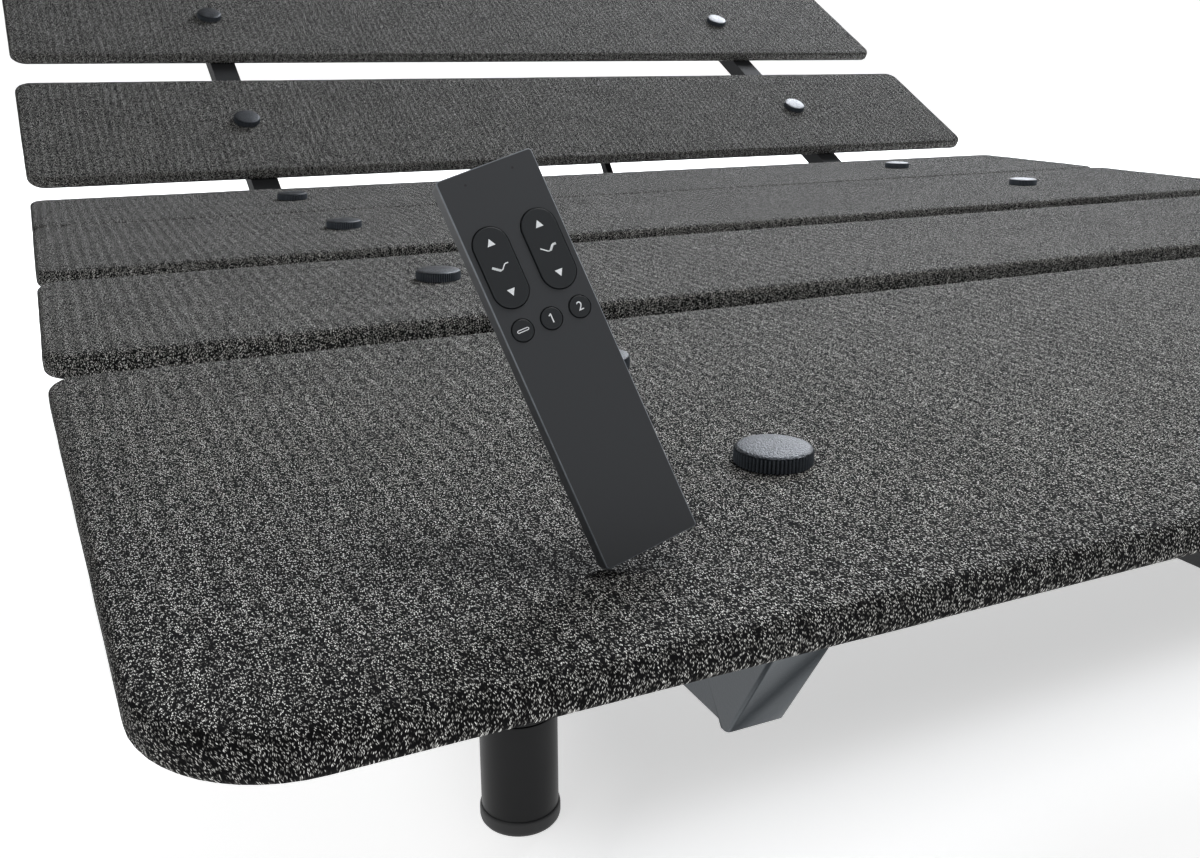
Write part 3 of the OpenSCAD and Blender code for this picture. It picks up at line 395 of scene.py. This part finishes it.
def wrapped_board(name, body, foot_r, taper, raised, dents):
    """A covered board: rounded outline, rounded edges, fuller rim, hem and non-woven below."""
    low, high = flat_box(name, raised.inverted())
    half, top = (high.x - low.x) / 2, high.z
    shape = bmesh.new()
    corners = [shape.verts.new(spot) for spot in (
        (-half + taper, low.y, low.z), (half - taper, low.y, low.z), (half, high.y, low.z),
        (-half, high.y, low.z))]
    shape.faces.new(corners)
    for pair, radius in ((corners[:2], foot_r), (corners[2:], CORNER_R)):
        bmesh.ops.bevel(shape, geom=pair, offset=radius, offset_type="OFFSET", affect="VERTICES",
                        segments=12, profile=0.5, material=-1)
    lifted = bmesh.ops.extrude_face_region(shape, geom=shape.faces[:])
    bmesh.ops.translate(shape, vec=(0, 0, BOARD_T),
                        verts=[v for v in lifted["geom"] if isinstance(v, bmesh.types.BMVert)])
    bmesh.ops.recalc_face_normals(shape, faces=shape.faces)
    rims = [e for e in shape.edges if abs(e.verts[0].co.z - e.verts[1].co.z) < 1e-6]
    bmesh.ops.bevel(shape, geom=rims, offset=EDGE_R, offset_type="OFFSET", affect="EDGES", segments=5,
                    profile=0.5, material=-1)
    above = [f for f in shape.faces if f.normal.z > 0.999]
    for width in RIM_BANDS:
        bmesh.ops.inset_region(shape, faces=above, thickness=width, use_even_offset=True)
    cuts = [(0, -half + taper + HEM_W), (0, half - taper - HEM_W), (1, low.y + HEM_W), (1, high.y - HEM_W)]
    cuts += [(0, -half + 2 * half * i / CUTS_ACROSS) for i in range(1, CUTS_ACROSS)]
    cuts += [(1, low.y + (high.y - low.y) * i / CUTS_ALONG) for i in range(1, CUTS_ALONG)]
    for axis, at in cuts:
        bmesh.ops.bisect_plane(shape, geom=shape.verts[:] + shape.edges[:] + shape.faces[:],
                               plane_co=(at, at, 0), plane_no=(1 - axis, axis, 0))
    for face in shape.faces:
        spot = face.calc_center_median()
        inside = abs(spot.x) < half - taper - HEM_W and low.y + HEM_W < spot.y < high.y - HEM_W
        face.material_index = 1 if inside and face.normal.z < -0.99 else 0

    cloth = shape.loops.layers.uv.new("cloth")

    def unrolled(p, fall):
        """Where a point of the cover lies on the flat cloth, after falling that far over the rim."""
        radius = foot_r if p.y < (low.y + high.y) / 2 else CORNER_R
        side = half - taper * (high.y - p.y) / (high.y - low.y) - radius
        inner = Vector((max(-side, min(side, p.x)), max(low.y + radius, min(high.y - radius, p.y))))
        out = Vector((p.x, p.y)) - inner
        return Vector((p.x, p.y)) + (out.normalized() * fall if out.length > 1e-6 else out)

    for face in shape.faces:
        under = face.normal.z < -0.8
        for corner in face.loops:
            spot = corner.vert.co
            corner[cloth].uv = unrolled(spot, 0 if under else max(0, high.z - spot.z))
    for vert in shape.verts:
        spot = vert.co
        if spot.z > low.z + 0.003:
            vert.co = spot + vert.normal * sum(reach * noise.noise(spot * rate) for reach, rate in SLACK)
        if spot.z > top - 0.001:
            edge = min(half - taper * (high.y - spot.y) / (high.y - low.y) - abs(spot.x),
                       spot.y - low.y, high.y - spot.y)
            vert.co.z += FULLNESS * math.sin(math.pi * min(1, max(0, edge - 0.003) / FULL_W)) ** 0.7
            for x, y in dents:
                away = math.hypot(spot.x - x, spot.y - y)
                vert.co.z -= DENT * math.exp(-(away / DENT_R) ** 2)
    shape.transform(raised)
    made = piece(name.replace("cover", "wrap"), shape, body, "knit_cover", knit, non_woven)
    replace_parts(made, name)


flat = Matrix.Identity(4)
boards = (("seat_front_cover", "chassis", CORNER_R, 0, flat, "seat_knobs"),
          ("seat_rear_cover", "chassis", CORNER_R, 0, flat, "seat_knobs"),
          ("thigh_cover", "thigh", CORNER_R, 0, flat, "thigh_knobs"),
          ("foot_cover", "calf", FOOT_CORNER_R, TAPER, flat, "foot_knobs"),
          ("head_lower_cover", "head", CORNER_R, 0, raise_head, "head_knobs"),
          ("head_upper_cover", "head", CORNER_R, 0, raise_head, "head_knobs"))


# the corners of knob tops that are closer than this belong to one knob
KNOB_APART = 0.05


def knob_places(name, lowered):
    """Centres of a node's hand knobs, from its loose solids, with the section lying flat."""
    tops = [lowered @ v.co for v in nodes[name].data.vertices]
    level = max(p.z for p in tops)
    found = []
    for spot in (p for p in tops if p.z > level - 1e-5):
        for group in found:
            if (group[0] - spot).length < KNOB_APART:
                group.append(spot)
                break
        else:
            found.append([spot])
    return [sum(group, Vector()) / len(group) for group in found]


for name, body, foot_r, taper, raised, knobs in boards:
    dents = [(p.x, p.y) for p in knob_places(knobs, raised.inverted())]
    wrapped_board(name, body, foot_r, taper, raised, dents)

# ---------------------------------------------------------------- hand knobs
# Moulded glass-filled nylon knobs hold the boards down by hand: a finely toothed rim, a shallow
# crowned top with a soft edge, and an 8 mm plated stud moulded in.

KNOB_R = 0.018
KNOB_H = 0.0085
TEETH = 60
TOOTH_DEPTH = 0.0011
STUD_R = 0.004
STUD_L = 0.031

# glass-filled nylon: satin black, with a painted highlight in a lighter grey on the crests of the
# teeth, and a spark-eroded grain that catches the light, drawn 0.9 mm wide so that it shows
nylon, shader, place = finish("glass-filled nylon", IOR=1.53, Specular_IOR_Level=0.32,
                              Specular_Tint=linear("#D2DEEE"))
crest_highlight = add(nylon, "Attribute", attribute_name="crest")
tone = add(nylon, "Mix", {0: crest_highlight.outputs["Fac"], 6: linear("#0E1114"), 7: linear("#53585E")},
           data_type="RGBA")
grain = add(nylon, "TexNoise", {"Vector": place, "Scale": 1 / 0.0009, "Detail": 3})
skin = add(nylon, "Bump", {"Height": grain.outputs["Fac"], "Strength": 1.0, "Distance": 0.0007})
gloss = add(nylon, "MapRange", {"Value": grain.outputs["Fac"], "To Min": 0.26, "To Max": 0.54})
feed(shader, {"Base Color": tone.outputs[2], "Roughness": gloss.outputs[0],
              "Normal": skin.outputs["Normal"]})

shape = bmesh.new()
# crest is 1 on the outer points of the teeth, which the nylon paints lighter as a highlight
crest = shape.verts.layers.float.new("crest")
bmesh.ops.create_circle(shape, cap_ends=True, cap_tris=False, segments=2 * TEETH, radius=KNOB_R - 0.0004)
ring = shape.edges[:]
for inset, height, toothed in ((0, 0.0004, True), (0, 0.0056, True), (0.0002, 0.0061, True),
                               (0.0006, 0.0066, False), (0.0013, 0.0072, False), (0.0024, 0.0076, False),
                               (0.0045, 0.0079, False), (0.009, 0.0083, False), (0.0135, KNOB_H, False)):
    grown = bmesh.ops.extrude_edge_only(shape, edges=ring)["geom"]
    verts = [v for v in grown if isinstance(v, bmesh.types.BMVert)]
    ring = [e for e in grown if isinstance(e, bmesh.types.BMEdge)]
    for i, vert in enumerate(sorted(verts, key=lambda v: math.atan2(v.co.y, v.co.x))):
        reach = KNOB_R - inset - (TOOTH_DEPTH if toothed and i % 2 else 0)
        vert.co = Vector((vert.co.x, vert.co.y, 0)).normalized() * reach + Vector((0, 0, height))
        vert[crest] = 1 if toothed and not i % 2 else 0
bmesh.ops.edgeloop_fill(shape, edges=ring)
turned(shape, [(0, -STUD_L), (STUD_R - 0.0006, -STUD_L), (STUD_R, 0.0006 - STUD_L), (STUD_R, 0.001),
               (0, 0.001)], (0, 0, 0), steps=20)
for face in shape.faces:
    face.material_index = 1 if face.calc_center_median().z < -1e-5 else 0
bmesh.ops.recalc_face_normals(shape, faces=shape.faces)
one_knob = bpy.data.meshes.new("one_knob")
shape.to_mesh(one_knob)
shape.free()

for name, body, raised in (("seat_knobs", "chassis", flat), ("thigh_knobs", "thigh", flat),
                           ("foot_knobs", "calf", flat), ("head_knobs", "head", raise_head)):
    shape = bmesh.new()
    for spot in knob_places(name, raised.inverted()):
        before = len(shape.verts)
        shape.from_mesh(one_knob)
        bmesh.ops.translate(shape, verts=shape.verts[before:], vec=spot - Vector((0, 0, KNOB_H)))
    shape.transform(raised)
    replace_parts(piece(name + "_finished", shape, body, "knob_plastic", nylon, zinc), name)

# ---------------------------------------------------------------- drives
# Two push-rod drives hang under the seat in sheet straps. Each has an anodised guide tube, a
# moulded gearbox and a round motor in a moulded cover. A control box and a power inlet feed them.

# extruded aluminium, black anodised: metal under a dark clear film, with lines along the tube
anodised, shader, place = finish("black anodised aluminium", Metallic=1.0)
die_lines = add(anodised, "Mapping", {"Vector": place, "Scale": (900, 8, 900)}).outputs[0]
drawn = add(anodised, "TexNoise", {"Vector": die_lines, "Scale": 1, "Detail": 2})
tone = add(anodised, "Mix", {0: drawn.outputs["Fac"], 6: linear("#2A2B2E"), 7: linear("#3D3F43")},
           data_type="RGBA")
gloss = add(anodised, "MapRange", {"Value": drawn.outputs["Fac"], "To Min": 0.3, "To Max": 0.46})
feed(shader, {"Base Color": tone.outputs[2], "Roughness": gloss.outputs[0]})

# moulded ABS, black, with the even pebble of a leather-grained tool
abs_black, shader, place = finish("moulded ABS", Base_Color=linear("#1A1B1D"), IOR=1.52)
pebble = add(abs_black, "TexVoronoi", {"Vector": place, "Scale": 1 / 0.0009, "Randomness": 0.9})
skin = add(abs_black, "Bump", {"Height": pebble.outputs["Distance"], "Strength": 0.3, "Distance": 0.0003})
gloss = add(abs_black, "MapRange", {"Value": pebble.outputs["Distance"], "To Min": 0.4, "To Max": 0.58})
feed(shader, {"Roughness": gloss.outputs[0], "Normal": skin.outputs["Normal"]})

for name in ("head_drive_tube", "thigh_drive_tube"):
    rolled(name, ALONG, 0.002, 0.0005, anodised, "drive_tube")
for name in ("head_drive_motor", "thigh_drive_motor"):
    rolled(name, ALONG, 0.003, 0.0015, abs_black, "drive_housing")
rolled("drive_clamps", ALONG, 0.0015, 0.0006, powder_coat)
rolled("control_box", UPRIGHT, 0.002, 0.002, abs_black, "control_housing")
rolled("power_inlet", ACROSS, 0.0005, 0.0005, polypropylene, "inlet_plastic")

# ---------------------------------------------------------------- handset
# A slim charcoal handset with a soft-touch finish, two rockers and three round keys in silicone.
# It stands on its lower corner on the foot board, and its symbols are printed in pale grey.

# soft-touch lacquer on ABS: a deep grey with a low, broad sheen
soft_touch, shader, place = finish("soft-touch lacquered ABS", Base_Color=linear("#292B2E"), IOR=1.5)
grain = add(soft_touch, "TexNoise", {"Vector": place, "Scale": 1 / 0.0004, "Detail": 2})
skin = add(soft_touch, "Bump", {"Height": grain.outputs["Fac"], "Strength": 0.12, "Distance": 0.0001})
gloss = add(soft_touch, "MapRange", {"Value": grain.outputs["Fac"], "To Min": 0.44, "To Max": 0.56})
feed(shader, {"Roughness": gloss.outputs[0], "Normal": skin.outputs["Normal"]})

# moulded silicone keys: near black and dull
silicone, shader, place = finish("moulded silicone", Base_Color=linear("#191C1F"), Roughness=0.55, IOR=1.41)
grain = add(silicone, "TexNoise", {"Vector": place, "Scale": 1 / 0.0004, "Detail": 2})
skin = add(silicone, "Bump", {"Height": grain.outputs["Fac"], "Strength": 0.1, "Distance": 0.0001})
feed(shader, {"Normal": skin.outputs["Normal"]})

# screen-printing ink: matte pale grey, a little thin in places
ink, shader, place = finish("screen-printing ink", Roughness=0.6, IOR=1.5)
thin = add(ink, "TexNoise", {"Vector": place, "Scale": 1 / 0.0005, "Detail": 3})
tone = add(ink, "Mix", {0: thin.outputs["Fac"], 6: linear("#C2C5C8"), 7: linear("#E6E8EA")}, data_type="RGBA")
feed(shader, {"Base Color": tone.outputs[2]})

# places on the face are (u, v) from its lower left corner; a key starts KEY_ROOT below the face,
# and the middle of a button's solid lies KEY_MIDDLE below it
HANDSET_W = 0.037
KEY_ROOT = 0.0021
KEY_PROUD = 0.0005
KEY_MIDDLE = 0.00085
ROCKER_PROUD = 0.0007
ROCKER_SIZE = (0.013, 0.0295)
BUTTON_SIZE = (0.0078, 0.0078)
# just under half a key's width, so that its ends are round and the corners stay apart
ROCKER_R = 0.00649
BUTTON_R = 0.00389
ROCKER_V = 0.1108
BUTTON_V = 0.088
ROCKERS = (("rocker_head", 0.0091), ("rocker_legs", 0.0279))
BUTTONS = (("button_flat", 0.0072), ("button_one", 0.0185), ("button_two", 0.0298))
button_at = dict(BUTTONS)
across = Vector(joints["rocker_head_tilt"]["axis"])
outward = -Vector(joints["button_one_press"]["axis"])
upward = outward.cross(across)
low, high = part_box("button_one")
face_corner = (low + high) / 2 - across * HANDSET_W / 2 - upward * BUTTON_V + outward * KEY_MIDDLE
stand = Matrix.Translation(face_corner) @ Matrix([across, upward, outward]).transposed().to_4x4()

# the shell's edges are painted lighter and glossier than its face: a painted highlight that shows as a thin
# light line
painted_edge_highlight, shader, place = finish("lacquer edge with painted highlight", Roughness=0.3, IOR=1.5)
highlight_unevenness = add(painted_edge_highlight, "TexNoise", {"Vector": place, "Scale": 1 / 0.004, "Detail": 4})
tone = add(painted_edge_highlight, "Mix", {0: highlight_unevenness.outputs["Fac"], 6: linear("#44484D"), 7: linear("#747A80")},
           data_type="RGBA")
feed(shader, {"Base Color": tone.outputs[2]})
shape = bmesh.new()
shape.from_mesh(nodes["handset_shell"].data)
bmesh.ops.remove_doubles(shape, verts=shape.verts, dist=1e-6)
bmesh.ops.dissolve_limit(shape, angle_limit=math.radians(1), verts=shape.verts, edges=shape.edges)
# faces that slope between the face and the sides take the painted edge highlight
for face in shape.faces:
    face.material_index = 1 if 0.2 < abs(face.normal.dot(outward)) < 0.97 else 0
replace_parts(piece("handset_shell_finished", shape, "handset", "handset_plastic", soft_touch, painted_edge_highlight),
            "handset_shell")


def key(name, centre, size, radius, proud):
    """A key with a soft edge; size is its width and length, and proud is how far it stands out."""
    shape = bmesh.new()
    w, h = size[0] / 2, size[1] / 2
    corners = [shape.verts.new((x, y, -KEY_ROOT)) for x, y in ((-w, -h), (w, -h), (w, h), (-w, h))]
    shape.faces.new(corners)
    bmesh.ops.bevel(shape, geom=corners, offset=radius, offset_type="OFFSET", affect="VERTICES", segments=14,
                    profile=0.5, material=-1)
    bmesh.ops.remove_doubles(shape, verts=shape.verts, dist=1e-6)
    lifted = bmesh.ops.extrude_face_region(shape, geom=shape.faces[:])
    rim = [v for v in lifted["geom"] if isinstance(v, bmesh.types.BMVert)]
    bmesh.ops.translate(shape, vec=(0, 0, KEY_ROOT + proud), verts=rim)
    bmesh.ops.recalc_face_normals(shape, faces=shape.faces)
    edges = [e for e in shape.edges if all(v.co.z > 0 for v in e.verts)]
    bmesh.ops.bevel(shape, geom=edges, offset=0.0004, offset_type="OFFSET", affect="EDGES", segments=3,
                    profile=0.5, material=-1)
    shape.transform(stand @ Matrix.Translation((centre[0], centre[1], 0)))
    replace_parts(piece(name + "_finished", shape, name, "key_plastic", silicone), name)


for name, u in ROCKERS:
    key(name, (u, ROCKER_V), ROCKER_SIZE, ROCKER_R, ROCKER_PROUD)
for name, u in BUTTONS:
    key(name, (u, BUTTON_V), BUTTON_SIZE, BUTTON_R, KEY_PROUD)


INK_T = 0.00003


def thickened(shape, thickness):
    """Gives flat faces that thickness, upwards."""
    lifted = bmesh.ops.extrude_face_region(shape, geom=shape.faces[:])["geom"]
    bmesh.ops.translate(shape, vec=(0, 0, thickness),
                        verts=[v for v in lifted if isinstance(v, bmesh.types.BMVert)])
    bmesh.ops.recalc_face_normals(shape, faces=shape.faces)


def printed(name, shape, centre, proud):
    """A thin print on a key's face."""
    thickened(shape, INK_T)
    shape.transform(stand @ Matrix.Translation((centre[0], centre[1], proud + 0.00001)))
    piece(name + "_print", shape, name, "key_plastic", ink)


def stroke(shape, points, width):
    """Adds a flat line of that width through the points."""
    rims = []
    for i, point in enumerate(points):
        before, after = points[max(0, i - 1)], points[min(len(points) - 1, i + 1)]
        run = (Vector(after) - Vector(before)).normalized()
        side = Vector((-run.y, run.x)) * width / 2
        rims.append([shape.verts.new((point[0] + s * side.x, point[1] + s * side.y, 0)) for s in (-1, 1)])
    for (a, b), (c, d) in zip(rims, rims[1:]):
        shape.faces.new((a, c, d, b))


def arrow(shape, y, turn):
    """Adds a triangle that points up, or down when turned by half a circle."""
    made = bmesh.ops.create_circle(shape, cap_ends=True, segments=3, radius=ARROW_R)["verts"]
    bmesh.ops.rotate(shape, verts=made, matrix=Matrix.Rotation(turn, 3, "Z"))
    bmesh.ops.translate(shape, verts=made, vec=(0, y, 0))


# each rocker shows the bed from its side between two arrows, with the section that it moves bolder
ARROW_R = 0.0017
ARROW_V = 0.0089
LINE_W, BOLD_W = 0.00038, 0.0008
BED_LINE = [(-0.0031, 0.0009), (-0.0009, -0.00075), (-0.0004, -0.00095), (0.0002, -0.0009),
            (0.0015, 0.00055), (0.0019, 0.00075), (0.003, 0.00075)]
MOVED = {"rocker_head": BED_LINE[:3], "rocker_legs": BED_LINE[3:]}
for name, u in ROCKERS:
    shape = bmesh.new()
    arrow(shape, ARROW_V, 0)
    arrow(shape, -ARROW_V, math.pi)
    stroke(shape, BED_LINE, LINE_W)
    stroke(shape, MOVED[name], BOLD_W)
    printed(name, shape, (u, ROCKER_V), ROCKER_PROUD)

# the first button lays the bed flat: a long mark with pointed ends
shape = bmesh.new()
for line in ([(-0.0019, -0.00042), (0.0019, -0.00042)], [(-0.0019, 0.00042), (0.0019, 0.00042)],
             [(-0.0019, 0.00042), (-0.0022, 0), (-0.0019, -0.00042)],
             [(0.0019, 0.00042), (0.0022, 0), (0.0019, -0.00042)]):
    stroke(shape, line, 0.0003)
printed("button_flat", shape, (button_at["button_flat"], BUTTON_V), KEY_PROUD)

# the other two recall stored positions 1 and 2
shape = bmesh.new()
stroke(shape, [(-0.00075, 0.001), (0.00024, 0.0017)], 0.0004)
stroke(shape, [(0.0001, 0.0017), (0.0001, -0.0016)], 0.00045)
printed("button_one", shape, (button_at["button_one"], BUTTON_V), KEY_PROUD)
letters = bpy.data.curves.new("digit", "FONT")
letters.body, letters.size, letters.align_x, letters.align_y = "2", 0.0046, "CENTER", "CENTER"
made = bpy.data.objects.new("digit", letters)
bpy.context.scene.collection.objects.link(made)
bpy.context.view_layer.update()
shape = bmesh.new()
shape.from_mesh(made.to_mesh())
bpy.data.objects.remove(made)
printed("button_two", shape, (button_at["button_two"], BUTTON_V), KEY_PROUD)

# the signal lamp's dark window, and a black disc of painted shade for the reset hole, near the top edge
WINDOW_AND_HOLE_R = 0.00045
shape = bmesh.new()
for u, v in ((0.0095, 0.1414), (0.0277, 0.1415)):
    made = bmesh.ops.create_circle(shape, cap_ends=True, segments=20, radius=WINDOW_AND_HOLE_R)["verts"]
    bmesh.ops.translate(shape, verts=made, vec=(u, v, 0))
thickened(shape, 0.00004)
shape.transform(stand)
piece("handset_window_and_hole_shade", shape, "handset", "key_plastic", polypropylene)

# ---------------------------------------------------------------- studio
# A pale glowing floor that glows less where the bed stands, a painted shadow, a wide soft light high up
# behind on the right, two small ones at the foot end, and a white surround. The camera stands low at the foot
# end's left corner.

floor_paper, shader, place = finish("pale studio floor", Base_Color=linear("#F2F2F2"), Roughness=0.8,
                                   Emission_Color=linear("#FFFFFF"))
# the floor glows so that it reads white, and glows less where the bed stands, which paints a soft shadow
# under the bed
BED_HALF = (0.70, 0.92, 0)
folded = add(floor_paper, "VectorMath", {0: place}, operation="ABSOLUTE").outputs[0]
past = add(floor_paper, "VectorMath", {0: folded, 1: BED_HALF}, operation="SUBTRACT").outputs[0]
sides = add(floor_paper, "SeparateXYZ", {0: past})
clear = add(floor_paper, "Math", {0: sides.outputs[0], 1: sides.outputs[1]}, operation="MAXIMUM")
glow_with_painted_shadow = add(floor_paper, "MapRange", {"Value": clear.outputs[0], "From Min": -0.3, "From Max": -0.1,
                                     "To Min": 0.5, "To Max": 0.8}, interpolation_type="SMOOTHSTEP")
feed(shader, {"Emission Strength": glow_with_painted_shadow.outputs[0]})
shape = bmesh.new()
bmesh.ops.create_grid(shape, x_segments=4, y_segments=4, size=60)
mesh = bpy.data.meshes.new("studio_floor")
shape.to_mesh(mesh)
shape.free()
mesh.materials.append(floor_paper)
floor = bpy.data.objects.new("studio_floor", mesh)
bpy.context.scene.collection.objects.link(floor)

# a white sweep stands behind the head end, and the room is dimmer overhead and in front
studio = bpy.data.worlds.new("studio")
bpy.context.scene.world = studio
studio.use_nodes = True
sky = add(studio, "SeparateXYZ", {0: add(studio, "TexCoord").outputs["Generated"]})
rise = add(studio, "MapRange", {"Value": sky.outputs["Z"], "From Min": 0.1, "From Max": 0.3,
                                "To Min": 1, "To Max": 0}, interpolation_type="SMOOTHSTEP")
back = add(studio, "MapRange", {"Value": sky.outputs["Y"], "From Min": -0.4, "From Max": 0.3,
                                "To Min": 0.36, "To Max": 0.75}, interpolation_type="SMOOTHSTEP")
white = add(studio, "Math", {0: rise.outputs[0], 1: back.outputs[0], 2: 0.27}, operation="MULTIPLY_ADD")
feed(studio.node_tree.nodes["Background"], {"Color": linear("#FFFFFF"), "Strength": white.outputs[0]})

for name, spot, aim, size, power, tint in (
        ("softbox", (3.0, 2.6, 3.2), (0.1, -0.2, 0.3), 2.8, 375, "#F6F9FF"),
        ("foot_light", (0.0, -0.9, 1.6), (0.0, -0.93, 0.3), 0.6, 16, "#FFFFFF"),
        ("fill", (-2.4, -2.0, 1.6), (-0.2, -0.5, 0.2), 1.4, 6, "#FFFFFF")):
    light = bpy.data.lights.new(name, "AREA")
    light.shape, light.size, light.energy, light.color = "DISK", size, power, linear(tint)[:3]
    lamp = bpy.data.objects.new(name, light)
    bpy.context.scene.collection.objects.link(lamp)
    lamp.location = spot
    lamp.rotation_euler = (Vector(aim) - Vector(spot)).to_track_quat("-Z", "Y").to_euler()

camera_data = bpy.data.cameras.new("camera")
camera_data.sensor_width = 36
camera_data.lens = 34.84
camera_data.clip_start = 0.02
camera = bpy.data.objects.new("camera", camera_data)
bpy.context.scene.collection.objects.link(camera)
camera.location = (-0.74797, -1.24946, 0.47567)
camera.rotation_euler = (math.radians(71.88), 0, math.radians(-25.47))
bpy.context.scene.camera = camera
bpy.context.scene.view_settings.view_transform = "Standard"
